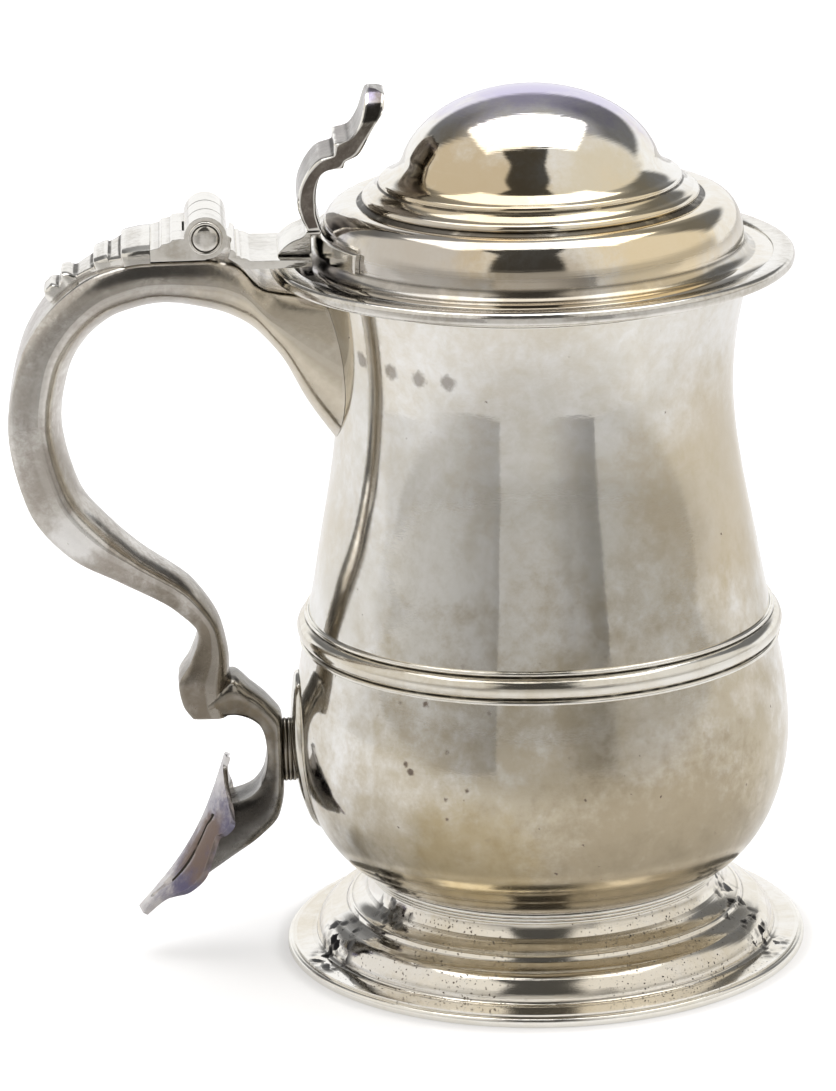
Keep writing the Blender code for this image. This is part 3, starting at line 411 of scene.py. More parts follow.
BODY_CLEAN = (0.885, 0.88, 0.86)
BODY_TONED = (0.73, 0.71, 0.65)
BODY_FILM = (0.66, 0.565, 0.40)
STAMP_DARK = (0.24, 0.21, 0.18)
# The belly is warmer and darker towards its base and across its lower front.
LOWER_BELLY_TONE = ((0.010, -0.026, 0.028), 0.095, 150.0, 0.75, (0.50, 0.43, 0.30), 0.80, 0.03)
BELLY_RUST = ((0.022, -0.044, 0.030), 0.046, 330.0, 0.62, (0.38, 0.315, 0.215), 0.75, 0.05)
BASE_BROWN = ((0.0, 0.0, 0.018), 0.075, 160.0, 0.9, (0.33, 0.28, 0.195), 0.90, 0.04)
LOW_STAIN = ((-0.019, -0.048, 0.035), 0.021, 120.0, 1.0, (0.40, 0.30, 0.13), 0.50, 0.05)
SIDE_STAIN = ((0.038, -0.023, 0.112), 0.040, 90.0, 0.8, (0.54, 0.44, 0.27), 0.60, 0.04)
SOLDER_STAIN = ((0.020, -0.049, 0.069), 0.022, 260.0, 0.45, (0.84, 0.81, 0.74), 0.4, 0.25)
BODY_PATCHES = (LOWER_BELLY_TONE, BELLY_RUST, BASE_BROWN, LOW_STAIN, SIDE_STAIN, SOLDER_STAIN)
BLANK_STAMPS = ((-0.0382, -0.0229, 0.1410), (-0.0322, -0.0303, 0.1400), (-0.0267, -0.0355, 0.1395),
                (-0.0207, -0.0394, 0.1395))
STAMP_DENTS = tuple((centre, 0.0027, 700.0, 0.6, STAMP_DARK, 0.70, 0.15) for centre in BLANK_STAMPS)
BELLY_PITS = ((-0.024, -0.049, 0.060), 0.024, 230.0, 0.25, PIT_BROWN)
BELLY_SPECKS = ((0.022, -0.047, 0.036), 0.038, 300.0, 0.15, PIT_BROWN)
FINE_SPECKS = ((0.0, 0.0, 0.09), 0.30, 180.0, 0.08, PIT_BROWN)
satin_body = silver("satin_body", BODY_CLEAN, BODY_TONED, BODY_FILM, cloud=30.0, toning=0.50, film_share=0.44,
                    gloss=0.038, haze=0.06, wear=0.2, lines=(240.0, 620.0), grime=0.7, mottle=0.36,
                    scratch=0.012, stains_and_painted_light=BODY_PATCHES + STAMP_DENTS,
                    pits=(BELLY_PITS, BELLY_SPECKS, FINE_SPECKS))

edge_height = MOUTH_HEIGHT - BODY_WALL / 3
inside = [(0.0, BASE_HEIGHT + BODY_WALL)] + belly_line(BODY_WALL, 16)
inside += wall_line(BELLY_HEIGHT, NECK_HEIGHT, 30, -BODY_WALL)[1:]
inside += wall_line(NECK_HEIGHT, edge_height, 12, -BODY_WALL)[1:]
outside = outer_side(0.0, edge_height)
mouth_edge = arc(inside[-1], outside[-1], 0.7, 4)[:-1]
body_shape = turn(inside + mouth_edge + outside[::-1] + [(0.0, BASE_HEIGHT)], closed=False)
for point in body_shape.verts:
    at = point.co / HAMMER_SPACING
    dent = noise.noise(at) + SMALL_DENT_SHARE * noise.noise(at * SMALL_DENT_RATE)
    level = Vector((point.co.x, point.co.y, 0.0))
    point.co += level.normalized() * dent * HAMMER_DEPTH
raised_body = show(store("raised_body", body_shape), satin_body)
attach(raised_body, "vessel")
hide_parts("body_vessel")


# Lip moulding
# A drawn wire of silver, bent round the mouth and soldered on to stiffen it.
# It has a rounded top edge and a fine bead below, and its lower edge holds old polish.
LIP_PROUD = 0.0014
LIP_BEAD = 0.0008
bright_moulding = silver("bright_moulding", (0.84, 0.82, 0.76), (0.70, 0.65, 0.55), (0.62, 0.53, 0.37),
                         cloud=48.0, toning=0.46, film_share=0.22, gloss=0.07, haze=0.08, wear=0.7,
                         lines=(70.0, 3200.0), scratch=0.05)


def off_wall(height, proud):
    """Point that stands proud of the body's wall at a height."""
    return (wall_radius(height) + proud, height)


def trace(*steps):
    """Outline through steps: a point, a list of points, or an arc's end with its bulge and count."""
    outline = []
    for step in steps:
        if isinstance(step, list):
            outline += step
        else:
            outline += arc(outline[-1], *step) if len(step) == 3 else [step]
    return outline


lip_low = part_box("lip_moulding")[0].z
bead_top = lip_low + LIP_BEAD
lip_outline = trace(
    off_wall(lip_low - LIP_BEAD * 0.6, HAIR),
    (off_wall(lip_low, LIP_PROUD * 0.45), 0.4, 4),
    (off_wall(bead_top, LIP_PROUD * 0.5), -0.6, 5),
    off_wall(bead_top + LIP_BEAD * 0.15, LIP_PROUD * 0.9),
    (off_wall(MOUTH_HEIGHT - LIP_BEAD, LIP_PROUD), -0.05, 4),
    (off_wall(MOUTH_HEIGHT, LIP_PROUD * 0.45), -0.4, 5),
    off_wall(MOUTH_HEIGHT, HAIR),
)
mouth_wire = show(store("mouth_wire", turn(lip_outline)), bright_moulding)
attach(mouth_wire, "vessel")
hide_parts("lip_moulding")


# Girdle
# A moulded wire drawn through a shaped die, with a broad half-round rib between two fine reeds.
# It is soldered round the belly, and solder and polish still show in its two quirks.
girdle_low, girdle_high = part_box("girdle_moulding")
GIRDLE_PROUD = 0.0019
REED_EDGE = GIRDLE_PROUD * 0.22
RIB_EDGE = GIRDLE_PROUD * 0.3
QUIRK_FLOOR = GIRDLE_PROUD * 0.18
REED_HEIGHT = 0.0010
QUIRK_HEIGHT = 0.0004
rib_low = girdle_low.z + REED_HEIGHT + QUIRK_HEIGHT
rib_high = girdle_high.z - REED_HEIGHT - QUIRK_HEIGHT
girdle_outline = trace(
    off_wall(girdle_low.z, HAIR),
    off_wall(girdle_low.z, REED_EDGE),
    (off_wall(girdle_low.z + REED_HEIGHT, RIB_EDGE), -0.75, 6),
    off_wall(rib_low - QUIRK_HEIGHT / 2, QUIRK_FLOOR),
    off_wall(rib_low, RIB_EDGE),
    (off_wall(rib_high, RIB_EDGE), -0.62, 16),
    off_wall(rib_high + QUIRK_HEIGHT / 2, QUIRK_FLOOR),
    off_wall(girdle_high.z - REED_HEIGHT, RIB_EDGE),
    (off_wall(girdle_high.z, REED_EDGE), -0.75, 6),
    off_wall(girdle_high.z, HAIR),
)
girdle_wire = show(store("girdle_wire", turn(girdle_outline)), bright_moulding)
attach(girdle_wire, "vessel")
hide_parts("girdle_moulding")


# Foot
# A ring of sheet silver raised and turned to a hollow and an ogee, with a small sharp step between.
# It is soldered under the body. Its hollows keep dark mottling that polishing never reached.
rim_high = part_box("foot_rim_wire")[1]
FOOT_RADIUS = rim_high.x
FOOT_RIM_HEIGHT = rim_high.z
FOOT_STEP_RADIUS = 0.0441
FOOT_STEP_HEIGHT = 0.0107
FOOT_WAIST_RADIUS = 0.0385
FOOT_WAIST_SHARE = 0.78
FOOT_WALL = 0.0011
FOOT_LEDGE = 0.0008
FOOT_SKIRT = 0.0012
# The pale straw patch on the front of the foot's upper band is a painted reflection of the belly.
BELLY_REFLECTION_STRAW = (0.92, 0.86, 0.74)
FOOT_BLACK = (0.020, 0.019, 0.022)
FOOT_RUST = (0.10, 0.075, 0.05)
COVE_PAINTED_REFLECTION = ((0.0, -0.046, 0.0085), 0.040, 240.0, 0.75, BELLY_REFLECTION_STRAW, 0.60, 0.05)
LEFT_SPECKS = ((-0.030, -0.041, 0.006), 0.028, 1300.0, 0.50, FOOT_RUST)
RIGHT_SPECKS = ((0.030, -0.041, 0.006), 0.028, 1300.0, 0.44, FOOT_BLACK)
HOLLOW_SPECKS = ((0.018, -0.037, 0.013), 0.022, 1400.0, 0.36, FOOT_RUST)
BLACK_SPOTS = ((-0.0471, -0.0150, 0.0070), (-0.0488, -0.0195, 0.0045), (-0.0340, -0.0185, 0.0145),
               (0.0433, -0.0184, 0.0088), (0.0472, -0.0208, 0.0046), (0.0390, -0.0110, 0.0130))
BLACK_BLOTCHES = tuple((centre, 0.0085, 430.0, 1.50, FOOT_BLACK) for centre in BLACK_SPOTS)
turned_foot = silver("turned_foot", (0.88, 0.86, 0.82), (0.77, 0.72, 0.62), (0.66, 0.56, 0.39), cloud=36.0,
                     toning=0.46, film_share=0.25, gloss=0.05, haze=0.06, wear=0.5, lines=(50.0, 3000.0),
                     grime=0.45, stains_and_painted_light=(COVE_PAINTED_REFLECTION,),
                     pits=(LEFT_SPECKS, RIGHT_SPECKS, HOLLOW_SPECKS) + BLACK_BLOTCHES)


def seat_height(radius):
    """Height of the body's underside at a radius."""
    share = max(0.0, (radius - BASE_FLAT_RADIUS) / (BELLY_RADIUS - BASE_FLAT_RADIUS))
    return BELLY_HEIGHT - (BELLY_HEIGHT - BASE_HEIGHT) * math.sqrt(1 - share * share)


waist_low = FOOT_STEP_HEIGHT + FOOT_WAIST_SHARE * (BASE_HEIGHT - FOOT_STEP_HEIGHT)
waist_seat = seat_height(FOOT_WAIST_RADIUS) - HAIR
skirt_radius = FOOT_RADIUS - FOOT_SKIRT
skirt_low = FOOT_RIM_HEIGHT + HAIR
foot_run = skirt_radius - FOOT_STEP_RADIUS
foot_seat = BASE_FLAT_RADIUS - FOOT_WALL
riser_low = (FOOT_STEP_RADIUS + foot_run * 0.02, FOOT_STEP_HEIGHT * 0.945)
middle = (FOOT_STEP_RADIUS + foot_run * 0.31, FOOT_STEP_HEIGHT * 0.80)
round_end = (FOOT_STEP_RADIUS + foot_run * 0.575, FOOT_RIM_HEIGHT + FOOT_SKIRT * 1.1)
flare_end = (FOOT_STEP_RADIUS + foot_run * 0.68, FOOT_RIM_HEIGHT + FOOT_SKIRT * 0.65)
foot_outline = trace(
    (FOOT_WAIST_RADIUS, waist_seat),
    (FOOT_WAIST_RADIUS, waist_low),
    ((FOOT_STEP_RADIUS - FOOT_LEDGE, FOOT_STEP_HEIGHT + FOOT_LEDGE * 0.4), -0.28, 12),
    ((FOOT_STEP_RADIUS, FOOT_STEP_HEIGHT - FOOT_LEDGE * 0.2), 0.35, 4),
    (riser_low, 0.10, 4),
    (middle, -0.10, 8),
    (round_end, 0.27, 18),
    (flare_end, -0.28, 8),
    ((skirt_radius, FOOT_RIM_HEIGHT + FOOT_SKIRT * 0.5), -0.02, 4),
    (skirt_radius, skirt_low),
    (skirt_radius - FOOT_WALL, skirt_low),
    (round_end[0] - FOOT_WALL, skirt_low),
    (middle[0] - FOOT_WALL, middle[1] - FOOT_WALL),
    (FOOT_STEP_RADIUS - FOOT_WALL, FOOT_STEP_HEIGHT - FOOT_WALL),
    (FOOT_WAIST_RADIUS - FOOT_WALL, waist_low),
    (foot_seat, BASE_HEIGHT - FOOT_WALL),
    (foot_seat, BASE_HEIGHT - HAIR),
    (BASE_FLAT_RADIUS, BASE_HEIGHT - HAIR),
)
foot_ring = show(store("foot_ring", turn(foot_outline)), turned_foot)
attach(foot_ring, "vessel")
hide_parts("foot")


# Foot rim
# A flat drawn wire soldered under the foot's edge. It takes the wear of the table,
# so its outer edge is rounded and bright and its top meets the foot in a dark line.
# Its silver is also set lighter than the other silver as painted light, brightening its reflection.
RIM_INNER = 0.0546
RIM_ROUND = 0.0008
QUARTER_ROUND = 0.4142
rubbed_rim_painted_bright = silver("rubbed_rim_painted_bright", (0.97, 0.95, 0.90), (0.89, 0.86, 0.78), (0.80, 0.72, 0.56), cloud=48.0,
                    toning=0.42, film_share=0.2, gloss=0.16, haze=0.06, wear=0.9, lines=(70.0, 3200.0),
                    grime=0.6, scratch=0.05)
rim_outline = trace(
    (RIM_INNER, FOOT_RIM_HEIGHT),
    (FOOT_RADIUS - RIM_ROUND, FOOT_RIM_HEIGHT),
    ((FOOT_RADIUS, FOOT_RIM_HEIGHT - RIM_ROUND), QUARTER_ROUND, 5),
    (FOOT_RADIUS, RIM_ROUND * 0.5),
    ((FOOT_RADIUS - RIM_ROUND * 0.5, 0.0), QUARTER_ROUND, 3),
    (RIM_INNER, 0.0),
)
foot_rim = show(store("foot_rim", turn(rim_outline)), rubbed_rim_painted_bright)
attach(foot_rim, "vessel")
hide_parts("foot_rim_wire")


# Foot collar
# A thin reeded wire laid in the corner between body and foot to hide the solder joint.
# Its three reeds are worn nearly flat and hold dark lines between them.
collar_low, collar_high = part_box("foot_collar")
COLLAR_REEDS = 3
COLLAR_BULGE = -0.55
collar_foot = (FOOT_WAIST_RADIUS + HAIR, collar_low.z)
collar_crest = (collar_high.x, seat_height(collar_high.x) - HAIR * 4)
collar_steps = []
for reed in range(1, COLLAR_REEDS + 1):
    share = reed / COLLAR_REEDS
    reed_end = [a + (b - a) * share for a, b in zip(collar_foot, collar_crest)]
    collar_steps.append((reed_end, COLLAR_BULGE, 6))
collar_outline = trace(collar_foot, *collar_steps, (FOOT_WAIST_RADIUS + HAIR, waist_seat))
foot_wire = show(store("foot_wire", turn(collar_outline)), bright_moulding)
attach(foot_wire, "vessel")
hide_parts("foot_collar")


# Hollow handle
# Two long halves of sheet silver, a flat-backed strap and a rounded channel, soldered edge to edge.
# The tube is trimmed to the body at the top and ends below in a beaked spur over the lower scroll.
strap_low, strap_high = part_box("handle_back_strap")
pin_low, pin_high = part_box("hinge_pin")
lid_rim_low, lid_rim_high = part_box("lid_rim_wire")
socket_low, socket_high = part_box("lower_socket")
HANDLE_UNIT = 0.0100
HANDLE_WIDTH = 0.0260
SPUR_WIDTH = 0.0145
MIDDLE_WIDTH = (HANDLE_WIDTH + SPUR_WIDTH) / 2
SPUR_REACH = 0.0113
GRIP_HEIGHT = 0.1240
SOLDER_GAP = 0.0003
RIM_CLEARANCE = 0.0002
HANDLE_FINE = 8
HINGE_X = (pin_low.x + pin_high.x) / 2
HINGE_Z = (pin_low.z + pin_high.z) / 2
HANDLE_CROWN = strap_high.z
SCROLL_FACE = socket_low.x - SOLDER_GAP
SOCKET_LEVEL = (socket_low.z + socket_high.z) / 2
SPUR_BROWN = ((-0.068, -0.022, 0.072), 0.046, 110.0, 1.0, (0.20, 0.170, 0.130), 0.95, 0.05)
NECK_STRAW = ((-0.050, -0.012, 0.140), 0.036, 120.0, 0.8, (0.66, 0.59, 0.46), 0.75, 0.04)
GRIP_BROWN = ((-0.098, -0.012, 0.106), 0.028, 150.0, 0.5, (0.30, 0.265, 0.22), 0.50, 0.03)
CROWN_DARK = ((-0.078, -0.012, 0.152), 0.024, 150.0, 0.6, (0.34, 0.31, 0.27), 0.40, 0.03)
GRIP_RUBBED = ((-0.1010, -0.0100, 0.1000), 0.0090, 300.0, 1.0, (0.86, 0.85, 0.83), 0.80, 0.02)
toned_handle = silver("toned_handle", (0.74, 0.72, 0.68), (0.52, 0.485, 0.44), (0.40, 0.35, 0.32), cloud=62.0,
                      toning=0.54, film_share=0.50, gloss=0.095, haze=0.11, wear=0.15, lines=(300.0, 300.0),
                      mottle=0.6, stains_and_painted_light=(CROWN_DARK, NECK_STRAW, GRIP_BROWN, SPUR_BROWN, GRIP_RUBBED))


def from_place(place_at, across, up):
    """Point that lies some handle units from a place, as x and z."""
    return (place_at[0] + across * HANDLE_UNIT, place_at[1] + up * HANDLE_UNIT)


def stations(rows):
    """Rows of two places with their distances made rows of two points; what else they hold stays."""
    return [from_place(*row[:3]) + from_place(*row[3:6]) + row[6:] for row in rows]


def ease(values, fine):
    """Smooth run through the values that never overshoots them, with fine samples to a span."""
    steps = [b - a for a, b in zip(values, values[1:])]
    slopes = [steps[0]]
    for before, after in zip(steps, steps[1:]):
        same_way = before * after > 0
        slopes.append(2 * before * after / (before + after) if same_way else 0.0)
    slopes.append(steps[-1])
    run = []
    for i, step in enumerate(steps):
        run += [values[i] + bend(k / fine, step, slopes[i], slopes[i + 1]) for k in range(fine)]
    return run + [values[-1]]


def ease_rows(rows, fine):
    """The same smooth run through each column of a list of stations."""
    return list(zip(*[ease(column, fine) for column in zip(*rows)]))


def loft(rings):
    """Closed skin through rings of like points, with flat ends."""
    shape = bmesh.new()
    loops = [[shape.verts.new(point) for point in ring] for ring in rings]
    count = len(rings[0])
    for near, far in zip(loops, loops[1:]):
        for i in range(count):
            j = (i + 1) % count
            shape.faces.new((near[i], near[j], far[j], far[i]))
    shape.faces.new(reversed(loops[0]))
    shape.faces.new(loops[-1])
    bmesh.ops.recalc_face_normals(shape, faces=shape.faces)
    return shape


def cut_away(shape, tool):
    """Cut a closed shape with another and return what is left."""
    holders = [put(label, keep(label, part)) for label, part in (("cut_piece", shape), ("cut_tool", tool))]
    step = holders[0].modifiers.new("cut", "BOOLEAN")
    step.operation = "DIFFERENCE"
    step.solver = "EXACT"
    step.object = holders[1]
    bpy.context.view_layer.update()
    result = bmesh.new()
    result.from_object(holders[0], bpy.context.evaluated_depsgraph_get())
    for holder in holders:
        mesh = holder.data
        bpy.data.objects.remove(holder, do_unlink=True)
        bpy.data.meshes.remove(mesh)
    return result


def body_block(offset):
    """Solid body shape grown by an offset, for trimming what is soldered to it."""
    side = outer_side(offset, MOUTH_HEIGHT)
    block = turn([(0.0, MOUTH_HEIGHT)] + side[::-1] + [(0.0, BASE_HEIGHT)], closed=False)
    bmesh.ops.recalc_face_normals(block, faces=block.faces)
    return block


def both_sides(half):
    """Section made of a half, its middle point and the half's mirror image."""
    return [(share, -breadth) for share, breadth in half] + [(1.0, 0.0)] + half[::-1]


def section(x0, z0, x1, z1, half, sides):
    """Ring between two points; sides give shares of the way between them and of the half width."""
    return [(x0 + (x1 - x0) * share, breadth * half, z0 + (z1 - z0) * share) for share, breadth in sides]


def handle_half(rows, sides, way):
    """Loft of one half, from the seam to the back when way is -1 and to the inside when it is 1."""
    rings = []
    for *ends, width, seam in rows:
        deep = seam if way < 0 else 1 - seam
        levels = [(seam + way * share * deep, breadth) for share, breadth in sides]
        rings.append(section(*ends, width / 2, levels))
    return loft(rings)


join = (-wall_radius(NECK_HEIGHT), HANDLE_CROWN)
edge = (-lid_rim_high.x, lid_rim_low.z - RIM_CLEARANCE)
hinge = (HINGE_X, HANDLE_CROWN)
grip = (strap_low.x, GRIP_HEIGHT)
spur = (SCROLL_FACE - SPUR_REACH, SOCKET_LEVEL)
HANDLE_STATIONS = [
    (join, 0.60, -1.12, join, 0.60, -5.20, HANDLE_WIDTH, 0.40),
    (join, -0.70, -0.86, join, -0.60, -3.50, HANDLE_WIDTH, 0.40),
    (edge, -0.10, -0.11, join, -1.20, -2.36, HANDLE_WIDTH, 0.40),
    (hinge, 0.62, -0.14, join, -1.90, -1.63, HANDLE_WIDTH, 0.40),
    (hinge, -0.10, 0.00, hinge, 0.10, -1.30, HANDLE_WIDTH, 0.41),
    (hinge, -1.20, 0.00, hinge, -0.95, -1.11, HANDLE_WIDTH, 0.42),
    (hinge, -2.28, -0.22, hinge, -1.80, -1.26, HANDLE_WIDTH, 0.44),
    (grip, 1.20, 2.90, grip, 1.95, 2.06, HANDLE_WIDTH * 0.98, 0.48),
    (grip, 0.32, 1.60, grip, 1.36, 1.15, HANDLE_WIDTH * 0.95, 0.52),
    (grip, 0.00, 0.00, grip, 1.16, 0.00, HANDLE_WIDTH * 0.90, 0.58),
    (grip, 0.35, -1.78, grip, 1.50, -1.50, MIDDLE_WIDTH * 1.04, 0.60),
    (grip, 1.29, -2.99, grip, 2.16, -2.36, MIDDLE_WIDTH * 0.95, 0.62),
    (spur, -2.32, 4.22, spur, -1.83, 4.81, SPUR_WIDTH * 1.22, 0.66),
    (spur, -1.14, 3.50, spur, -0.69, 3.93, SPUR_WIDTH * 1.06, 0.68),
    (spur, -0.66, 2.90, spur, -0.13, 2.98, SPUR_WIDTH * 0.97, 0.68),
    (spur, -0.86, 2.26, spur, 0.00, 2.22, SPUR_WIDTH * 0.97, 0.68),
    (spur, -1.14, 1.76, spur, 0.00, 1.70, SPUR_WIDTH, 0.68),
    (spur, -1.06, 1.30, spur, 0.00, 1.26, SPUR_WIDTH, 0.68),
    (spur, -0.86, 0.98, spur, 0.00, 1.00, SPUR_WIDTH * 0.97, 0.68),
]
STRAP_HALF = [(0.0, 1.0), (0.30, 0.985), (0.58, 0.955), (0.80, 0.92), (0.92, 0.885), (0.975, 0.845),
              (0.990, 0.78), (0.994, 0.55), (0.998, 0.28)]
CHANNEL_BREADTH = 0.985
channel_half = [(s, b) for b, s in ellipse((0.0, 0.0), CHANNEL_BREADTH, 1.0, 0, 90, 12)[:-1]]
handle_rows = ease_rows(stations(HANDLE_STATIONS), HANDLE_FINE)
for name, half, way, node in (("handle_strap", STRAP_HALF, -1, "handle_back_strap"),
                              ("handle_channel", channel_half, 1, "handle_inner_channel")):
    half_shape = cut_away(handle_half(handle_rows, both_sides(half), way), body_block(HAIR))
    half_piece = show(store(name, half_shape), toned_handle)
    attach(half_piece, "vessel")
    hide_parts(node)


# Lower scroll
# A solid cast C scroll, filed flat on its sides and hollow face, that springs from the spur.
# It is soldered to the spur above, to the socket at its back and to the shield at its free end.
SCROLL_WIDTH = 0.0130
SCROLL_FINE = 8
SOCKET_TALL = socket_high.z - socket_low.z
SHIELD_TILT = math.radians(30)
TERMINAL_LENGTH = 0.0407
TERMINAL_WIDTH = 0.0220
TERMINAL_THICKNESS = 0.0012
TERMINAL_CURVE = 0.0132
TERMINAL_CURL = 0.45
TERMINAL_OUT = 0.0132
TERMINAL_DISH = 0.0028
TERMINAL_KEEL = 0.22
CREASE_SHARE = 0.42
CREASE_TOP = 0.30
CREASE_END = 0.90
CLEAR_TOP = -0.2
CLEAR_LENGTH = 1.4
HOLLOW_AT = (SCROLL_FACE - 0.0120, 0.0, SOCKET_LEVEL - 0.0015)
# The pale lavender on the scroll's hollow face is a painted reflection of the white room.
HOLLOW_PAINTED_REFLECTION = (HOLLOW_AT, 0.0098, 150.0, 1.0, (0.72, 0.71, 0.76), 0.85, 0.05)
LOW_AT = (SCROLL_FACE - 0.0090, -0.0060, SOCKET_LEVEL - 0.0165)
LOW_DARK = (LOW_AT, 0.0230, 150.0, 1.0, (0.060, 0.056, 0.052), 0.9, 0.05)
dark_scroll = silver("dark_scroll", (0.26, 0.235, 0.195), (0.115, 0.105, 0.09), (0.24, 0.185, 0.11),
                     cloud=75.0, toning=0.60, film_share=0.55, gloss=0.09, haze=0.12, wear=0.22,
                     lines=(320.0, 320.0), stains_and_painted_light=(LOW_DARK, HOLLOW_PAINTED_REFLECTION))

butt = (SCROLL_FACE - SPUR_REACH + HAIR, SOCKET_LEVEL)
seat = (SCROLL_FACE, SOCKET_LEVEL)
seat_top = (SCROLL_FACE, SOCKET_LEVEL + SOCKET_TALL / 2)
seat_low = (SCROLL_FACE, SOCKET_LEVEL - SOCKET_TALL / 2)
SCROLL_STATIONS = [
    (butt, -0.83, 0.95, butt, -0.86, 1.06, 0.97),
    (butt, -0.40, 0.99, butt, -0.36, 1.60, 1.13),
    (butt, 0.02, 1.03, butt, 0.06, 1.86, 1.10),
    (seat, -0.80, 0.94, seat, -0.66, 1.54, 0.97),
    (seat, -0.50, 0.72, seat, -0.28, 1.19, 0.94),
    (seat, -0.39, 0.40, seat_top, 0.00, 0.04, 0.92),
    (seat, -0.36, 0.00, seat, 0.00, 0.00, 0.92),
    (seat, -0.43, -0.46, seat_low, 0.00, -0.04, 0.96),
    (seat, -0.70, -0.86, seat, -0.12, -1.40, 1.00),
    (seat, -1.06, -1.02, seat, -0.58, -1.92, 1.06),
    (seat, -1.50, -1.12, seat, -1.24, -2.38, 1.12),
    (seat, -2.10, -1.28, seat, -2.00, -2.90, 1.16),
]
SCROLL_HALF = [(0.0, 0.80), (0.05, 0.86), (0.20, 0.94), (0.45, 0.99), (0.66, 1.0), (0.82, 0.94), (0.93, 0.78),
               (0.99, 0.50), (1.0, 0.22)]
scroll_sides = both_sides(SCROLL_HALF) + [(0.0, 0.0)]
shield_down = Vector((-math.sin(SHIELD_TILT), 0.0, -math.cos(SHIELD_TILT)))
shield_out = Vector((-math.cos(SHIELD_TILT), 0.0, math.sin(SHIELD_TILT)))
shield_top = Vector((SCROLL_FACE - TERMINAL_OUT, 0.0, SOCKET_LEVEL - SOLDER_GAP))


def shield(rows, columns, low, high, crease):
    """Convex plate between two offsets along its outward normal; rows give shares of length and width."""
    rings = []
    for along, breadth in rows:
        half = breadth * TERMINAL_WIDTH / 2
        dish = -TERMINAL_DISH * math.sin(math.pi * min(1.0, max(0.0, along)))
        base = shield_top + shield_down * (TERMINAL_LENGTH * along)
        line = []
        for share in columns:
            y = half * share
            curl = (math.sqrt(TERMINAL_CURVE ** 2 - y * y) - TERMINAL_CURVE) * TERMINAL_CURL
            creased = abs(share) == CREASE_SHARE and CREASE_TOP < along < CREASE_END
            line.append((y, dish + curl - abs(y) * TERMINAL_KEEL, crease if creased else 0.0))
        front = [base + shield_out * (n + high - groove) + Vector((0, y, 0)) for y, n, groove in line]
        back = [base + shield_out * (n + low) + Vector((0, y, 0)) for y, n, groove in reversed(line)]
        rings.append(front + back)
    return loft(rings)


scroll_rings = []
for *ends, width in ease_rows(stations(SCROLL_STATIONS), SCROLL_FINE):
    scroll_rings.append(section(*ends, width * SCROLL_WIDTH / 2, scroll_sides))
clear_rows = [(CLEAR_TOP + CLEAR_LENGTH * i / 28, 1.0) for i in range(29)]
clear_columns = [-1.0 + i / 8 for i in range(17)]
clearance = shield(clear_rows, clear_columns, -TERMINAL_THICKNESS - HAIR, TERMINAL_LENGTH, 0.0)
cast_scroll = show(store("cast_scroll", cut_away(loft(scroll_rings), clearance)), dark_scroll)
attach(cast_scroll, "vessel")
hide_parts("handle_lower_scroll")


# Handle terminal
# A shield of sheet silver, pierced to a wavy outline, domed, and creased down each half.
# It is soldered to the scroll's free end, and its face has toned to violet and straw.
CREASE_DEPTH = 0.0006
SHIELD_EDGE = 0.00022
SHIELD_SHARP = 75
NEAR_VIOLET = ((-0.0800, -0.0180, 0.026), 0.0270, 180.0, 1.0, (0.135, 0.125, 0.205), 1.0, 0.02)
NEAR_BROWN = ((-0.0800, -0.0085, 0.028), 0.0130, 220.0, 1.0, (0.20, 0.150, 0.130), 1.0, 0.02)
violet_shield = silver("violet_shield", (0.72, 0.71, 0.70), (0.55, 0.53, 0.55), (0.55, 0.49, 0.46),
                       cloud=70.0, toning=0.52, film_share=0.35, gloss=0.10, haze=0.10, wear=0.08,
                       lines=(260.0, 260.0), grime=1.0, stains_and_painted_light=(NEAR_VIOLET, NEAR_BROWN))
SHIELD_OUTLINE = [
    (0.00, 0.16), (0.05, 0.15), (0.10, 0.36), (0.20, 0.86), (0.27, 1.00), (0.34, 0.92), (0.39, 0.80),
    (0.50, 0.88), (0.61, 0.96), (0.73, 0.86), (0.81, 0.62), (0.86, 0.47), (0.93, 0.38), (1.00, 0.33),
]
shield_columns = [-1.0, -0.97, -0.9, -0.75, -0.6, -0.51, -CREASE_SHARE, -0.33, -0.22, -0.11, 0.0]
shield_columns += [-share for share in shield_columns[-2::-1]]


def soften(shape, width, sharp=35, rounds=2):
    """Round off every edge that turns by more than an angle in degrees."""
    limit = math.radians(sharp)
    edges = [e for e in shape.edges if len(e.link_faces) == 2 and e.calc_face_angle(0.0) > limit]
    bmesh.ops.bevel(shape, geom=edges, offset=width, segments=rounds, profile=0.5, affect="EDGES",
                    clamp_overlap=True)
    return shape


terminal_shape = shield(ease_rows(SHIELD_OUTLINE, 5), shield_columns, -TERMINAL_THICKNESS, 0.0, CREASE_DEPTH)
terminal_shape = soften(terminal_shape, SHIELD_EDGE, SHIELD_SHARP)
terminal_shield = show(store("terminal_shield", terminal_shape), violet_shield)
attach(terminal_shield, "vessel")
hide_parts("handle_terminal")


# Backplate and socket
# An oval plate of thin silver bent to the belly spreads the handle's load over the wall.
# A short banded boss stands on it, and the scroll is soldered to the boss.
plate_low, plate_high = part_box("lower_backplate")
BACKPLATE_THICKNESS = 0.0007
BACKPLATE_TALL = plate_high.z - plate_low.z
BACKPLATE_WIDE = plate_high.y - plate_low.y
OVAL_STEPS = 96
OVAL_RINGS = (1.0, 0.985, 0.96, 0.92, 0.8, 0.6, 0.3)
OVAL_RISE = (0.0, 0.55, 0.85, 1.0, 1.0, 1.0, 1.0)


def on_belly(y, z, proud):
    """Point on the handle side of the body, some way proud of its wall."""
    radius = wall_radius(z) + proud
    return (-math.sqrt(radius * radius - y * y), y, z)


def oval(wide, tall, count):
    """Points round an upright oval about the socket's middle, as y and z."""
    return ellipse((0.0, SOCKET_LEVEL), wide / 2, tall / 2, 0, 360, count)[:-1]


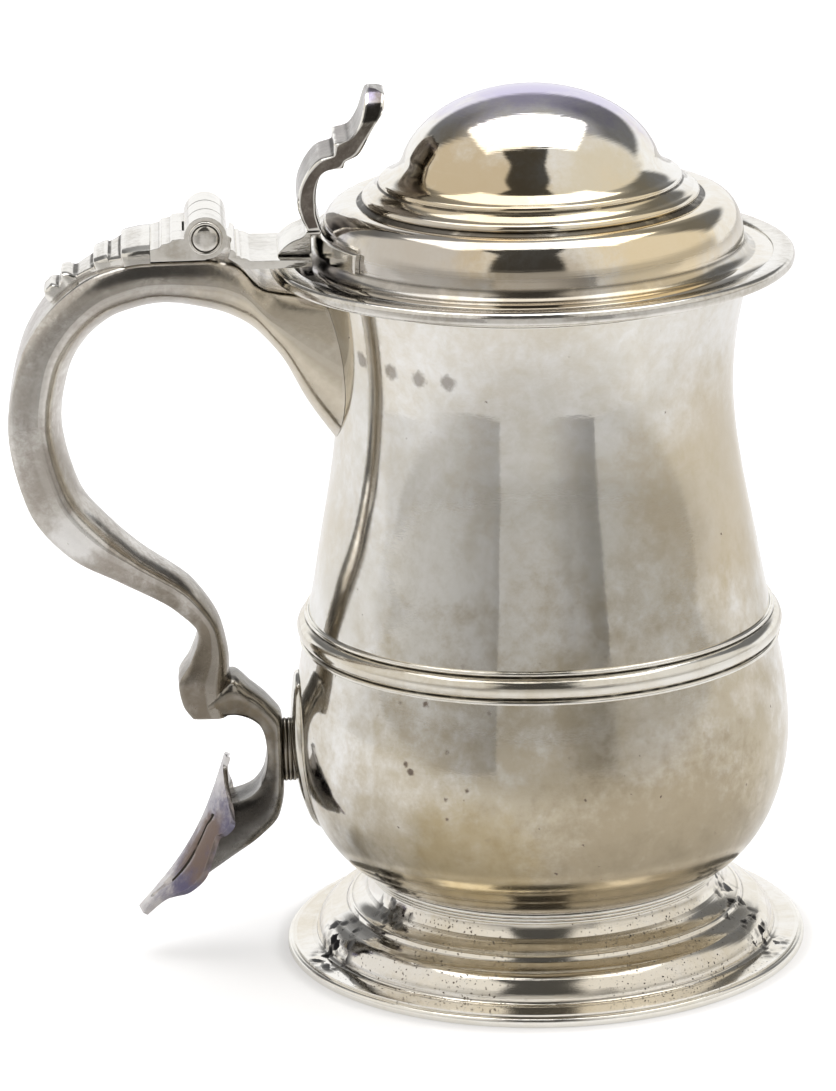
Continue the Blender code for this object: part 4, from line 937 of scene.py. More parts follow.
plate_rings = []
under = [(share, 0.0) for share in OVAL_RINGS[::-1]]
for share, rise in under + list(zip(OVAL_RINGS, OVAL_RISE)):
    proud = HAIR + rise * (BACKPLATE_THICKNESS + SOLDER_GAP)
    points = oval(BACKPLATE_WIDE * share, BACKPLATE_TALL * share, OVAL_STEPS)
    plate_rings.append([on_belly(y, z, proud) for y, z in points])
back_plate = show(store("back_plate", loft(plate_rings)), satin_body)
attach(back_plate, "vessel")
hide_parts("lower_backplate")

SOCKET_WIDE = socket_high.y - socket_low.y
SOCKET_BANDS = 3
BAND_STEPS = 6
BAND_SWELL = 0.05
SOCKET_STEPS = 64
socket_rings = []
socket_start = -wall_radius(SOCKET_LEVEL)
for i in range(SOCKET_BANDS * BAND_STEPS + 1):
    share = i / (SOCKET_BANDS * BAND_STEPS)
    swell = 1.0 + BAND_SWELL * abs(math.sin(math.pi * SOCKET_BANDS * share))
    x = socket_start + (SCROLL_FACE - socket_start) * share
    points = oval(SOCKET_WIDE * swell, SOCKET_TALL * swell, SOCKET_STEPS)
    socket_rings.append([(x, y, z) for y, z in points])
socket_boss = show(store("socket_boss", loft(socket_rings)), dark_scroll)
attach(socket_boss, "vessel")
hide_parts("lower_socket")


# Hinge block and pin
# A cast block soldered on the handle's crown carries two of the hinge's three tubes.
# A drawn pin runs through all three, hidden at each end by a thin domed cap.
block_low, block_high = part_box("hinge_block")
KNUCKLE_RADIUS = block_high.z - HINGE_Z
TUBE_ROOM = 0.0004
BARREL_HALF = block_high.y
LUG_INNER = 0.0044
LUG_EDGE = 0.00012
BRIDGE_EDGE = 0.00008
LUG_SHARP = 60
BLOCK_FALL = 0.0022
BLOCK_STEPS = [(0.89, 0.0), (0.66, 0.06), (0.58, 0.36), (0.35, 0.47), (0.27, 0.82), (0.0, 1.0)]
bright_hinge = silver("bright_hinge", (0.80, 0.78, 0.74), (0.58, 0.55, 0.49), (0.54, 0.48, 0.39), cloud=80.0,
                      toning=0.46, film_share=0.3, gloss=0.08, haze=0.10, wear=0.7, lines=(200.0, 900.0),
                      mottle=0.5, scratch=0.06)


def round_hinge(radius, first, last, count):
    """Points round the hinge from the first angle to the last, as x and z."""
    return ellipse((HINGE_X, HINGE_Z), radius, radius, first, last, count)


def plate(outline, near, far):
    """Outline in the upright plane made a plate between two depths."""
    return loft([[(x, depth, z) for x, z in outline] for depth in (near, far)])


def gather(shapes):
    """Several closed shapes as one."""
    whole = bmesh.new()
    for shape in shapes:
        mesh = keep("gathered", shape)
        whole.from_mesh(mesh)
        bpy.data.meshes.remove(mesh)
    return whole


def broad_faces(piece):
    """Let broad faces keep their own direction, so that only the rounded edges look round."""
    weighing = piece.modifiers.new("broad_faces", "WEIGHTED_NORMAL")
    weighing.keep_sharp = True
    return piece


block_back = block_low.x
block_run = HINGE_X - KNUCKLE_RADIUS - block_back
block_top = [(block_back + block_run * share, HINGE_Z - BLOCK_FALL * fall) for share, fall in BLOCK_STEPS]
lug_round = round_hinge(KNUCKLE_RADIUS, -90, 180, 40)
lug_outline = [(block_back, block_low.z), (HINGE_X, block_low.z)] + lug_round + block_top
slot_round = round_hinge(KNUCKLE_RADIUS + TUBE_ROOM, 255, 180, 14)
bridge_outline = [(block_back, block_low.z), (slot_round[0][0], block_low.z)] + slot_round + block_top
block_shapes = [
    soften(plate(lug_outline, -BARREL_HALF, -LUG_INNER), LUG_EDGE, LUG_SHARP),
    soften(plate(bridge_outline, -LUG_INNER, LUG_INNER), BRIDGE_EDGE, LUG_SHARP),
    soften(plate(lug_outline, LUG_INNER, BARREL_HALF), LUG_EDGE, LUG_SHARP),
]
hinge_lugs = broad_faces(show(store("hinge_lugs", gather(block_shapes)), bright_hinge))
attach(hinge_lugs, "vessel")
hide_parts("hinge_block")


def laid_across(shape, y, side):
    """Turn a shape made about the upright axis so that it looks out along the pin, at a depth."""
    turning = Matrix.Rotation(math.radians(-90 * side), 4, "X")
    shape.transform(Matrix.Translation((HINGE_X, y, HINGE_Z)) @ turning)
    return shape


PIN_RADIUS = pin_high.z - HINGE_Z
PIN_CHAMFER = PIN_RADIUS * 0.15
pin_half = pin_high.y
pin_end = [(0.0, pin_half), (PIN_RADIUS - PIN_CHAMFER, pin_half), (PIN_RADIUS, pin_half - PIN_CHAMFER)]
pin_shape = turn(pin_end + [(radius, -height) for radius, height in pin_end[::-1]], closed=False)
drawn_pin = show(store("drawn_pin", laid_across(pin_shape, 0.0, 1)), bright_hinge)
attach(drawn_pin, "vessel")
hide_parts("hinge_pin")

PIN_CAP_RADIUS = 0.0037
for name, side, node in (("near_pin_cap", -1, "pin_cap_near"), ("far_pin_cap", 1, "pin_cap_far")):
    cap_low, cap_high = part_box(node)
    tall = cap_high.y - cap_low.y
    cap_outline = trace(
        (0.0, tall),
        ellipse((0.0, tall * 0.30), PIN_CAP_RADIUS * 0.74, tall * 0.70, 82, 8, 12),
        (PIN_CAP_RADIUS * 0.79, tall * 0.16),
        (PIN_CAP_RADIUS * 0.84, tall * 0.40),
        ((PIN_CAP_RADIUS, tall * 0.20), 0.5, 5),
        (PIN_CAP_RADIUS, -SOLDER_GAP),
        (0.0, -SOLDER_GAP),
    )
    base_y = cap_low.y if side > 0 else cap_high.y
    pin_cap = show(store(name, laid_across(turn(cap_outline, closed=False), base_y, side)), bright_hinge)
    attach(pin_cap, "vessel")
    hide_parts(node)


# Hinge drop
# A cast tongue of stepped mouldings that runs from the hinge block down the handle's back.
# Each step is narrower than the last, and it ends in a small bud.
DROP_LENGTH = 0.0247
DROP_TALL = 0.0034
DROP_FINE = 3
DROP_STATIONS = [
    (0.0, 1.00, 1.0), (0.22, 0.94, 0.94), (0.24, 0.65, 0.90), (0.34, 0.59, 0.72), (0.36, 0.76, 0.70),
    (0.47, 0.74, 0.64), (0.50, 0.32, 0.58), (0.66, 0.29, 0.48), (0.70, 0.65, 0.47), (0.75, 0.91, 0.46),
    (0.80, 0.56, 0.43), (0.84, 0.47, 0.42), (0.88, 0.79, 0.41), (0.96, 0.79, 0.39), (1.0, 0.41, 0.34),
]
DROP_CROWN = [(1.0, 0.0), (1.0, 0.62), (0.97, 0.84), (0.88, 0.97), (0.70, 1.04), (0.35, 1.07)]
DROP_MIDDLE = 1.08


def along_path(path, distance):
    """Point and direction at a distance along a chain of points."""
    for (x0, z0), (x1, z1) in zip(path, path[1:]):
        span = math.hypot(x1 - x0, z1 - z0)
        if distance <= span:
            t = distance / span
            return (x0 + (x1 - x0) * t, z0 + (z1 - z0) * t), ((x1 - x0) / span, (z1 - z0) / span)
        distance -= span
    return path[-1], ((x1 - x0) / span, (z1 - z0) / span)


drop_start = block_back - HAIR
back_line = [(row[0], row[1]) for row in handle_rows]
first = next(i for i, point in enumerate(back_line) if point[0] < drop_start)
drop_path = [(drop_start, back_line[first][1])] + back_line[first:]
drop_section = [(-y, up) for y, up in DROP_CROWN] + [(0.0, DROP_MIDDLE)] + DROP_CROWN[::-1]
drop_rings = []
for share, height, breadth in ease_rows(DROP_STATIONS, DROP_FINE):
    (x, z), (tx, tz) = along_path(drop_path, share * DROP_LENGTH)
    half = BARREL_HALF * breadth
    tall = DROP_TALL * height
    drop_rings.append([(x + tz * tall * up, half * y, z - tx * tall * up) for y, up in drop_section])
hinge_tongue = show(store("hinge_tongue", loft(drop_rings)), bright_hinge)
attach(hinge_tongue, "vessel")
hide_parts("hinge_drop")


# Lid
# One disc of silver raised and turned to a stepped dome with a flat flange.
# Rubbing keeps its mouldings mirror bright, while straw and violet tarnish creeps over the crown.
shell_low, shell_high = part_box("lid_shell")
LID_SEAT = shell_low.z
LID_WALL = 0.0010
FLANGE_TOP = LID_SEAT + LID_WALL
FLANGE_EDGE = shell_high.x
SHOULDER_RADIUS = 0.0461
SHOULDER_ROUND = 0.0066
SHOULDER_RISE = 0.0098
SHOULDER_FULL = 2.3
COVE_RADIUS = 0.0025
SHOULDER_LOW = FLANGE_TOP + COVE_RADIUS
RING_RADIUS = 0.0365
RING_TOP = LID_SEAT + 0.0150
RING_EDGE = 0.0014
STEP_RADIUS = 0.0327
STEP_TOP = LID_SEAT + 0.0183
STEP_EDGE = 0.0011
DOME_RADIUS = 0.0287
DOME_SPRING = LID_SEAT + 0.0175
DOME_RISE = shell_high.z - DOME_SPRING
CROWN_VIOLET = ((0.004, 0.010, 0.199), 0.040, 70.0, 1.0, (0.56, 0.51, 0.74), 0.90, 0.02)
FRONT_STRAW = ((-0.017, -0.030, 0.176), 0.030, 90.0, 1.0, (0.63, 0.51, 0.33), 0.90, 0.02)
DOME_STRAW = ((0.015, -0.029, 0.175), 0.023, 90.0, 1.0, (0.76, 0.68, 0.51), 0.80, 0.02)
SHOULDER_STRAW = ((0.026, -0.036, 0.169), 0.025, 90.0, 1.0, (0.86, 0.71, 0.46), 0.80, 0.02)
LOW_STRAW = ((0.0, -0.046, 0.159), 0.016, 90.0, 1.0, (0.50, 0.43, 0.33), 0.80, 0.02)
LEFT_GREY = ((-0.030, -0.034, 0.165), 0.024, 70.0, 1.0, (0.60, 0.57, 0.53), 0.80, 0.03)
FLANGE_VIOLET = ((-0.050, -0.014, 0.158), 0.022, 120.0, 0.6, (0.30, 0.28, 0.34), 0.6, 0.08)
LID_STAINS = (CROWN_VIOLET, DOME_STRAW, FRONT_STRAW, SHOULDER_STRAW, LOW_STRAW, LEFT_GREY, FLANGE_VIOLET)
mirror_lid = silver("mirror_lid", (0.87, 0.86, 0.83), (0.78, 0.72, 0.61), (0.70, 0.60, 0.43), cloud=34.0,
                    toning=0.45, film_share=0.24, gloss=0.035, haze=0.04, wear=0.25, lines=(40.0, 2200.0),
                    scratch=0.03, stains_and_painted_light=LID_STAINS)


def shoulder_line(offset, begin, end, count):
    """Round shoulder of the lid between two angles in degrees, moved outwards by an offset."""
    run = []
    for x, z in ellipse((0.0, 0.0), 1.0, 1.0, begin, end, count):
        squared = (abs(x) ** SHOULDER_FULL + abs(z) ** SHOULDER_FULL) ** (-1 / SHOULDER_FULL)
        radius = SHOULDER_RADIUS - SHOULDER_ROUND + (SHOULDER_ROUND + offset) * x * squared
        run.append((radius, SHOULDER_LOW + (SHOULDER_RISE + offset) * z * squared))
    return run


lid_outline = trace(
    ellipse((0.0, DOME_SPRING), DOME_RADIUS, DOME_RISE, 90, 17, 28),
    ((STEP_RADIUS - STEP_EDGE * 0.3, STEP_TOP), -0.26, 10),
    ((STEP_RADIUS + STEP_EDGE * 0.2, STEP_TOP - STEP_EDGE), 0.42, 6),
    ((RING_RADIUS - RING_EDGE * 0.4, RING_TOP + RING_EDGE * 0.15), -0.2, 6),
    ((RING_RADIUS, RING_TOP - RING_EDGE), 0.45, 6),
    shoulder_line(0.0, 107, 0, 24),
    ((SHOULDER_RADIUS + COVE_RADIUS * 1.2, FLANGE_TOP + COVE_RADIUS * 0.12), -0.36, 6),
    (FLANGE_EDGE - HAIR * 8, FLANGE_TOP),
    (FLANGE_EDGE, FLANGE_TOP - HAIR * 6),
    (FLANGE_EDGE, LID_SEAT),
    (SHOULDER_RADIUS + LID_WALL * 0.8, LID_SEAT),
    (SHOULDER_RADIUS - LID_WALL, LID_SEAT + LID_WALL * 1.6),
    shoulder_line(-LID_WALL, 0, 90, 14),
    (RING_RADIUS - LID_WALL, RING_TOP - RING_EDGE - LID_WALL),
    (STEP_RADIUS - LID_WALL, STEP_TOP - STEP_EDGE - LID_WALL * 2.3),
    (DOME_RADIUS - LID_WALL, DOME_SPRING),
    ellipse((0.0, DOME_SPRING), DOME_RADIUS - LID_WALL, DOME_RISE - LID_WALL, 10, 90, 20),
)
lid_dome = show(store("lid_dome", turn(lid_outline, closed=False)), mirror_lid)
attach(lid_dome, "lid")
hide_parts("lid_shell")


# Lid rim and bezel
# A rounded drawn wire soldered to the flange's edge stiffens the lid and hangs over the mouth.
# A plain ring inside, the bezel, drops into the mouth and keeps the lid true.
WIRE_ROUND = 0.0011
wire_in = FLANGE_EDGE + HAIR * 2
wire_out = lid_rim_high.x
wire_top = lid_rim_high.z
wire_low = lid_rim_low.z
wire_outline = trace(
    (wire_in, wire_top - HAIR * 6),
    (wire_in + HAIR * 8, wire_top),
    (wire_out - WIRE_ROUND, wire_top),
    ((wire_out, wire_top - WIRE_ROUND), QUARTER_ROUND, 8),
    (wire_out, wire_low + WIRE_ROUND),
    ((wire_out - WIRE_ROUND, wire_low), QUARTER_ROUND, 8),
    (wire_in, wire_low),
)
lid_wire = show(store("lid_wire", turn(wire_outline)), bright_hinge)
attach(lid_wire, "lid")
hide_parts("lid_rim_wire")

bezel_low, bezel_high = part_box("lid_bezel")
BEZEL_WALL = 0.0010
bezel_out = bezel_high.x
bezel_in = bezel_out - BEZEL_WALL
bezel_round = bezel_low.z + BEZEL_WALL * 0.4
bezel_outline = trace((bezel_out, bezel_high.z), (bezel_out, bezel_round), ((bezel_in, bezel_round), 0.8, 8),
                      (bezel_in, bezel_high.z))
bezel_ring = show(store("bezel_ring", turn(bezel_outline)), bright_moulding)
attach(bezel_ring, "lid")
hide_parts("lid_bezel")


# Lid hinge plate
# A strip of silver runs from the hinge's middle tube over the flange to the lid's shoulder.
# Two reeds are filed across it beside the tube, and it is soldered down at the shoulder.
strip_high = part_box("lid_hinge_plate")[1]
STRIP_HALF = strip_high.y
STRIP_THICKNESS = 0.0016
STRIP_LOW = FLANGE_TOP + 0.0013
STRIP_EDGE = 0.00018
PLATE_REED = 0.0012
LID_TUBE_HALF = 0.0040
NECK_SHARE = 0.98
strip_top = STRIP_LOW + STRIP_THICKNESS
heel = HINGE_X + KNUCKLE_RADIUS + TUBE_ROOM
strip_outline = trace(
    (strip_high.x, STRIP_LOW),
    (strip_high.x, strip_top),
    (heel + PLATE_REED * 3.7, strip_top + PLATE_REED * 0.2),
    ((heel + PLATE_REED * 2, strip_top + PLATE_REED * 0.8), -0.2, 4),
    ((heel + PLATE_REED * 1.15, strip_top + PLATE_REED * 1.1), -0.7, 6),
    ((heel + PLATE_REED * 0.25, strip_top + PLATE_REED * 2.4), -0.5, 6),
    (heel - PLATE_REED / 4, HANDLE_CROWN + 2 * SOLDER_GAP),
    (heel + PLATE_REED * 3, STRIP_LOW),
)
tube_outline = round_hinge(KNUCKLE_RADIUS, 0, 360, 56)[:-1]
neck_low = HINGE_Z - KNUCKLE_RADIUS * 0.92
neck_end = heel + PLATE_REED / 2
neck_outline = [(HINGE_X, neck_low), (neck_end, neck_low), (neck_end, HINGE_Z - KNUCKLE_RADIUS * 0.48),
                (HINGE_X + KNUCKLE_RADIUS * 0.5, HINGE_Z)]
neck_half = LID_TUBE_HALF * NECK_SHARE
strip_shapes = [
    soften(plate(strip_outline[::-1], -STRIP_HALF, STRIP_HALF), STRIP_EDGE),
    soften(plate(tube_outline, -LID_TUBE_HALF, LID_TUBE_HALF), LUG_EDGE, LUG_SHARP),
    plate(neck_outline, -neck_half, neck_half),
]
hinge_strip = broad_faces(show(store("hinge_strip", gather(strip_shapes)), bright_hinge))
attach(hinge_strip, "lid")
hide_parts("lid_hinge_plate")


# Saddle
# A curved strap of silver soldered to the lid's shoulder behind the thumbpiece.
# It spreads the pull of the thumb over the thin raised wall.
saddle_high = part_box("lid_saddle")[1]
SADDLE_THICKNESS = 0.0010
SADDLE_HALF = saddle_high.y
SADDLE_STEPS = 48
SADDLE_EDGE = 0.0002
SADDLE_SHARP = 50
saddle_tall = math.degrees(math.asin((saddle_high.z - SHOULDER_LOW) / (SHOULDER_RISE + SADDLE_THICKNESS)))
saddle_in = shoulder_line(HAIR, 0, saddle_tall, 10)
saddle_out = shoulder_line(SOLDER_GAP + SADDLE_THICKNESS, saddle_tall * 0.88, 0, 10)
saddle_out += [(saddle_out[-1][0] - SADDLE_THICKNESS * 0.3, SHOULDER_LOW)]
saddle_reach = math.asin(SADDLE_HALF / saddle_out[-1][0])
saddle_rings = []
for i in range(SADDLE_STEPS + 1):
    angle = math.pi + saddle_reach * (2 * i / SADDLE_STEPS - 1)
    saddle_rings.append([(r * math.cos(angle), r * math.sin(angle), z) for r, z in saddle_in + saddle_out])
saddle_shape = soften(loft(saddle_rings), SADDLE_EDGE, SADDLE_SHARP)
saddle_strap = broad_faces(show(store("saddle_strap", saddle_shape), bright_hinge))
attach(saddle_strap, "lid")
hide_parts("lid_saddle")


# Thumbpiece and its base
# A cast scroll with a rounded crest, filed to crisp edges, that the thumb presses to lift the lid.
# It is soldered on a small cast wedge; handling has worn its edges bright,
# and a painted highlight lights the top of its near side.
wedge_low, wedge_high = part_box("thumbpiece_base")
WEDGE_LIP = 0.0008
WEDGE_EDGE = 0.0003
WEDGE_SHARP = 40
wedge_face = -(SHOULDER_RADIUS + 3 * SOLDER_GAP + SADDLE_THICKNESS)
wedge_reach = wedge_face - wedge_low.x
wedge_fall = wedge_high.z - wedge_low.z
wedge_ledge = wedge_high.z - WEDGE_LIP
wedge_outline = trace(
    (wedge_face, wedge_low.z),
    (wedge_face, wedge_ledge),
    (wedge_high.x, wedge_ledge),
    (wedge_high.x, wedge_high.z),
    (wedge_face - wedge_reach * 0.135, wedge_high.z),
    ((wedge_face - wedge_reach * 0.34, wedge_high.z - wedge_fall * 0.29), 0.25, 5),
    ((wedge_low.x, wedge_low.z), -0.18, 8),
)
wedge_shape = soften(plate(wedge_outline, wedge_low.y, wedge_high.y), WEDGE_EDGE, WEDGE_SHARP)
thumb_wedge = broad_faces(show(store("thumb_wedge", wedge_shape), bright_hinge))
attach(thumb_wedge, "lid")
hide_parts("thumbpiece_base")

thumb_low, thumb_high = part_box("thumbpiece")
THUMB_HALF = thumb_high.y
THUMB_TALL = thumb_high.z - thumb_low.z
THUMB_SPRING = 0.74
THUMB_RISE = 0.258
THUMB_FINE = 5
THUMB_VIOLET = ((-0.0365, -0.005, 0.196), 0.0060, 300.0, 1.0, (0.40, 0.36, 0.52), 0.80, 0.02)
# The pale patch high on the near side is a painted highlight, where the side turns over the crest.
THUMB_PAINTED_HIGHLIGHT = ((-0.0390, -0.0085, 0.1925), 0.0042, 300.0, 1.0, (0.86, 0.85, 0.83), 0.90, 0.0)
worn_thumb = silver("worn_thumb", (0.29, 0.265, 0.230), (0.120, 0.105, 0.088), (0.20, 0.155, 0.14),
                    cloud=110.0, toning=0.58, film_share=0.4, gloss=0.06, haze=0.08, wear=1.0,
                    lines=(240.0, 240.0), stains_and_painted_light=(THUMB_VIOLET, THUMB_PAINTED_HIGHLIGHT))
THUMB_FRONT = [
    (0.0, 0.0), (-0.032, 0.14), (-0.029, 0.26), (0.003, 0.39), (0.080, 0.444), (0.170, 0.450),
    (0.190, 0.495), (0.280, 0.54), (0.389, 0.72), (0.482, 0.871), (0.492, 0.952), (0.440, 0.985),
]
THUMB_BACK = [
    (-0.100, 0.0), (-0.138, 0.084), (-0.166, 0.183), (-0.156, 0.273), (-0.102, 0.405), (0.0, 0.520),
    (0.109, 0.559), (0.113, 0.630), (0.215, 0.656), (0.302, 0.772), (0.357, 0.965), (0.379, 0.995),
]
thumb_sides = [(0.08, 1.0), (0.20, 1.0), (0.5, 1.0), (0.80, 1.0), (0.91, 1.0), (1.0, 0.94), (1.0, 0.88),
               (1.0, 0.0)]
thumb_sides += [(s, -b) for s, b in thumb_sides[-2::-1]]
thumb_sides += [(0.0, -0.95), (0.0, -0.88), (0.0, 0.0), (0.0, 0.88), (0.0, 0.95)]
thumb_rings = []
for ends in ease_rows([f + b for f, b in zip(THUMB_FRONT, THUMB_BACK)], THUMB_FINE):
    ring = []
    for x, breadth, z in section(*ends, 1.0, thumb_sides):
        over = min(1.0, max(0.0, (z - THUMB_SPRING) / THUMB_RISE))
        half = THUMB_HALF * math.sqrt(1 - over * over)
        ring.append((wedge_high.x + x * THUMB_TALL, half * breadth, thumb_low.z + z * THUMB_TALL))
    thumb_rings.append(ring)
thumb_scroll = show(store("thumb_scroll", loft(thumb_rings)), worn_thumb)
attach(thumb_scroll, "lid")
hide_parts("thumbpiece")


# Studio
# White paper under a wide overhead lamp, with a pale backdrop and warm walls at the sides.
# The room behind the camera is dark, and three dark cards out of the picture shade the silver's front.
FLOOR_HALF = 5.0
WHITE = (1.0, 1.0, 1.0, 1.0)
PAPER_WHITE = (0.90, 0.90, 0.915, 1.0)
PAPER_SHADE = (0.52, 0.51, 0.50, 1.0)
PAPER_ROUGHNESS = 0.85
PAPER_SHINE = 0.1
PAPER_GLOW = 0.40
PAPER_EDGE = (0.425, 0.440, 0.0, 0.40)
PAPER_FRONT = (0.20, 0.0)
# The paper's colour is painted with shade: darker in front and to the right, and in a ring round the foot as
# a painted contact shadow.
FRONT_SHADE = (-0.06, -0.34, 0.0, 0.85)
RIGHT_SHADE = (0.06, 0.36, 0.0, 0.40)
FOOT_SHADE = (0.0625, 0.0582, 0.0, 0.9)
FOOT_GLOW = (0.0665, 0.0605, 0.0, 0.75)
floor_shape = bmesh.new()
bmesh.ops.create_grid(floor_shape, x_segments=1, y_segments=1, size=FLOOR_HALF)
white_paper, tree, shader = new_material("white_paper")
shader["Roughness"].default_value = PAPER_ROUGHNESS
shader["Specular IOR Level"].default_value = PAPER_SHINE
shader["Emission Color"].default_value = WHITE
on_paper = place(tree, "TexCoord", {}).outputs["Object"]
paper_at = place(tree, "SeparateXYZ", {"Vector": on_paper}).outputs
paper_reach = place(tree, "VectorMath", {0: on_paper}, operation="LENGTH").outputs["Value"]
shade = times(tree, ramp(tree, paper_reach, *PAPER_EDGE), ramp(tree, paper_at["Y"], *PAPER_FRONT))
for value, step in ((paper_at["Y"], FRONT_SHADE), (paper_at["X"], RIGHT_SHADE), (paper_reach, FOOT_SHADE)):
    shade = sums(tree, "MAXIMUM", shade, ramp(tree, value, *step))
tree.links.new(tint(tree, shade, PAPER_WHITE, PAPER_SHADE), shader["Base Color"])
# Painted light: near the foot the paper glows for reflected rays, to brighten the foot rim's reflection.
rays = place(tree, "LightPath", {}).outputs
mirrored = times(tree, rays["Is Glossy Ray"], ramp(tree, paper_reach, *FOOT_GLOW))
lit = sums(tree, "MAXIMUM", rays["Is Camera Ray"], mirrored)
tree.links.new(times(tree, lit, PAPER_GLOW), shader["Emission Strength"])
floor = show(keep("floor", floor_shape), white_paper)

OVERHEAD = 2.3
LEFT_WALL = 0.90
LOW_WALL = 0.56
HIGH_WALL = 0.84
LOW_BACKDROP = 1.05
DIM_BACKDROP = 0.18
HIGH_BACKDROP = 0.46
MIDDLE_BACKDROP = HIGH_BACKDROP * 0.8
DARK_ROOM = 0.075
FRONT_TABLE = 0.50
WARM_WALLS = (1.0, 0.965, 0.91, 1.0)
WALL_BEARINGS = (-125, 115, 6)
LEFT_BEARINGS = (-112, -62)
BEHIND_BEARINGS = (150, 176)
DARK_BEARINGS = (-27, 15, 1.5)
WALL_STEP = (4, 14)
TABLE_STEP = (9, 14)
BACKDROP_STEP = (15, 22)
BACKDROP_DROP = 9.0
DIM_STEP = (40, 56)
LAMP_STEP = (30, 35)
LAMP_ACROSS = (-0.56, 0.56, 0.02)
LAMP_ALONG = (-0.18, 0.62, 0.02)
GAP_ACROSS = (-0.34, 0.20, 0.01)
GAP_ALONG = (-1.0, 0.0, 0.01)
LEAST_RISE = 0.05
world = bpy.data.worlds.new("room")
bpy.context.scene.world = world
world.use_nodes = True
room_tree = world.node_tree


def blend(share, first, second):
    """Brightness of the room between two values."""
    return place(room_tree, "Mix", {0: share, 2: first, 3: second}, data_type="FLOAT").outputs[0]


def band(value, low, high, soft):
    """One between two marks and none outside them."""
    below = sums(room_tree, "SUBTRACT", 1.0, ramp(room_tree, value, high - soft, high + soft))
    return times(room_tree, ramp(room_tree, value, low - soft, low + soft), below)


direction = place(room_tree, "TexCoord", {}).outputs["Generated"]
axes = place(room_tree, "SeparateXYZ", {"Vector": direction}).outputs
bearing = sums(room_tree, "ARCTAN2", axes["X"], times(room_tree, axes["Y"], -1.0))
bearing = sums(room_tree, "DEGREES", bearing)
height = sums(room_tree, "DEGREES", sums(room_tree, "ARCSINE", axes["Z"]))
above = sums(room_tree, "MAXIMUM", axes["Z"], LEAST_RISE)
across = sums(room_tree, "DIVIDE", axes["X"], above)
along = sums(room_tree, "DIVIDE", axes["Y"], above)
sideways = band(bearing, *WALL_BEARINGS)
behind = ramp(room_tree, sums(room_tree, "ABSOLUTE", bearing), *BEHIND_BEARINGS)
upper_backdrop = blend(behind, DIM_BACKDROP, MIDDLE_BACKDROP)
upper_backdrop = blend(ramp(room_tree, height, *DIM_STEP), upper_backdrop, HIGH_BACKDROP)
lowered = sums(room_tree, "SUBTRACT", height, times(room_tree, behind, BACKDROP_DROP))
backdrop = blend(ramp(room_tree, lowered, *BACKDROP_STEP), LOW_BACKDROP, upper_backdrop)
low_wall = blend(ramp(room_tree, bearing, *LEFT_BEARINGS), LEFT_WALL, LOW_WALL)
room = blend(sideways, backdrop, blend(ramp(room_tree, height, *WALL_STEP), low_wall, HIGH_WALL))
low_front = blend(ramp(room_tree, height, *TABLE_STEP), FRONT_TABLE, DARK_ROOM)
room = blend(band(bearing, *DARK_BEARINGS), room, low_front)
room = blend(times(room_tree, band(across, *GAP_ACROSS), band(along, *GAP_ALONG)), room, DARK_ROOM)
lamp = times(room_tree, band(across, *LAMP_ACROSS), band(along, *LAMP_ALONG))
lamp = times(room_tree, lamp, ramp(room_tree, height, *LAMP_STEP))
room = blend(lamp, room, OVERHEAD)
seen = place(room_tree, "LightPath", {}).outputs["Is Camera Ray"]
warm = times(room_tree, sideways, sums(room_tree, "SUBTRACT", 1.0, lamp))
background = room_tree.nodes["Background"].inputs
room_tree.links.new(tint(room_tree, warm, WHITE, WARM_WALLS), background["Color"])
room_tree.links.new(blend(seen, room, 1.0), background["Strength"])

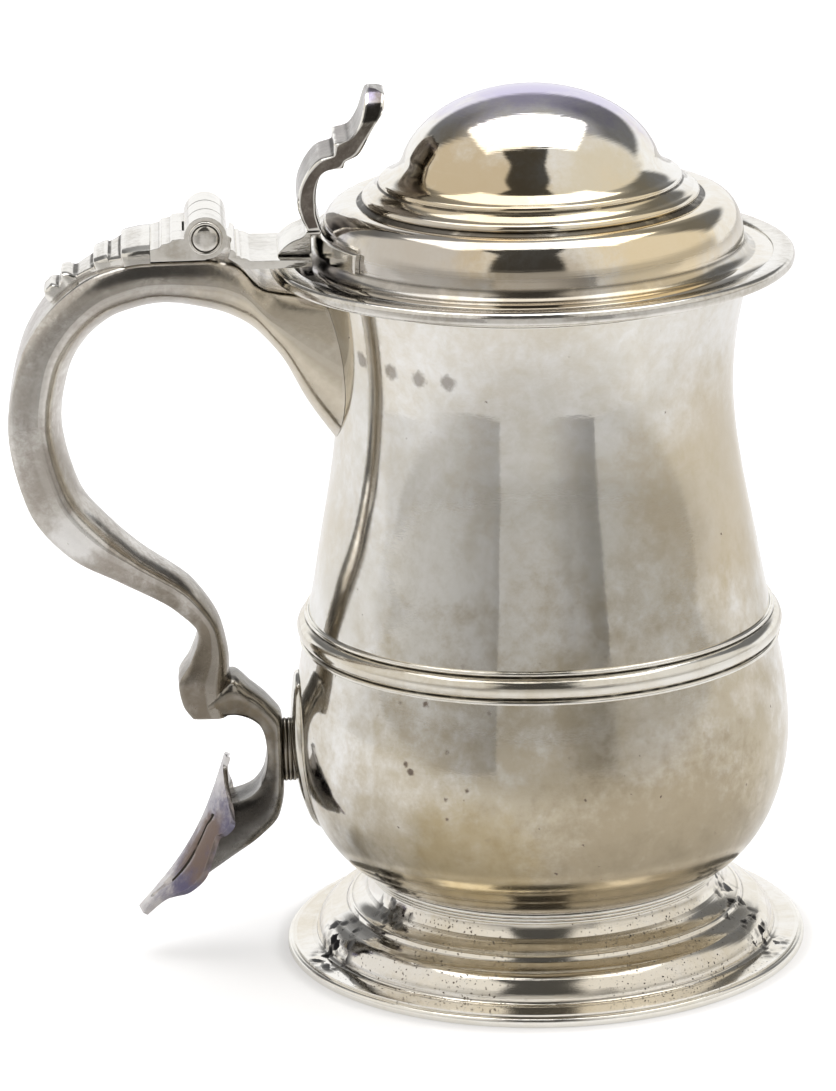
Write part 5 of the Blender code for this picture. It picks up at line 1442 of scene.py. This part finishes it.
CARD_AWAY = 0.40
CARD_TALL = 0.16
CARD_DARK = (0.05, 0.05, 0.05, 1.0)
CARD_EDGE = (0.95, 0.98, 0.0, 0.34)
CARDS = (
    ("left_card", -60.0, -22.5, 0.02, 0.38),
    ("right_card", -4.0, 29.0, 0.0, 0.58),
    ("far_card", 29.5, 80.0, 0.10, 0.02),
)
for name, left_side, right_side, left_share, right_share in CARDS:
    dark_card, tree, shader = new_material(name)
    shader["Base Color"].default_value = CARD_DARK
    on_card = place(tree, "SeparateXYZ", {"Vector": place(tree, "TexCoord", {}).outputs["Generated"]}).outputs
    faded = ramp(tree, on_card["X"], 0.0, 1.0, left_share, right_share)
    tree.links.new(sums(tree, "MAXIMUM", faded, ramp(tree, on_card["Z"], *CARD_EDGE)), shader["Alpha"])
    angles = [math.radians(side) for side in (left_side, right_side)]
    left, right = [(CARD_AWAY * math.sin(angle), -CARD_AWAY * math.cos(angle)) for angle in angles]
    card_shape = bmesh.new()
    corners = [(*left, 0.0), (*right, 0.0), (*right, CARD_TALL), (*left, CARD_TALL)]
    card_shape.faces.new([card_shape.verts.new(corner) for corner in corners])
    card = show(keep(name, card_shape), dark_card)
    card.visible_camera = False
    card.visible_shadow = False
    card.visible_diffuse = False

SOFT_LAMP_SIZE = 0.9
for name, stand, energy in (("side_light", (1.0, 0.4, 1.4), 6.0), ("front_light", (0.3, -1.0, 1.2), 2.0)):
    lamp_data = bpy.data.lights.new(name, "AREA")
    lamp_data.size = SOFT_LAMP_SIZE
    lamp_data.energy = energy
    soft_lamp = put(name, lamp_data)
    facing = Vector(stand).to_track_quat("Z", "Y").to_matrix().to_4x4()
    soft_lamp.matrix_world = Matrix.Translation(stand) @ facing
    soft_lamp.visible_glossy = False


# Camera
# The photograph was taken from a little over a metre away, from in front and slightly above.
# The long lens and the small roll are those of the photograph.
CAMERA_PLACE = Vector((-0.0701, -1.1695, 0.4399))
CAMERA_LOOK = Vector((0.03577, 0.95794, -0.28473))
CAMERA_ROLL = math.radians(-1.539)
CAMERA_LENS = 182.7
CAMERA_SENSOR = 36.0
camera_data = bpy.data.cameras.new("camera")
camera_data.lens = CAMERA_LENS
camera_data.sensor_width = CAMERA_SENSOR
camera = put("camera", camera_data)
looking = CAMERA_LOOK.to_track_quat("-Z", "Y").to_matrix().to_4x4()
camera.matrix_world = Matrix.Translation(CAMERA_PLACE) @ looking @ Matrix.Rotation(CAMERA_ROLL, 4, "Z")
bpy.context.scene.camera = camera
bpy.context.scene.view_settings.view_transform = "Standard"
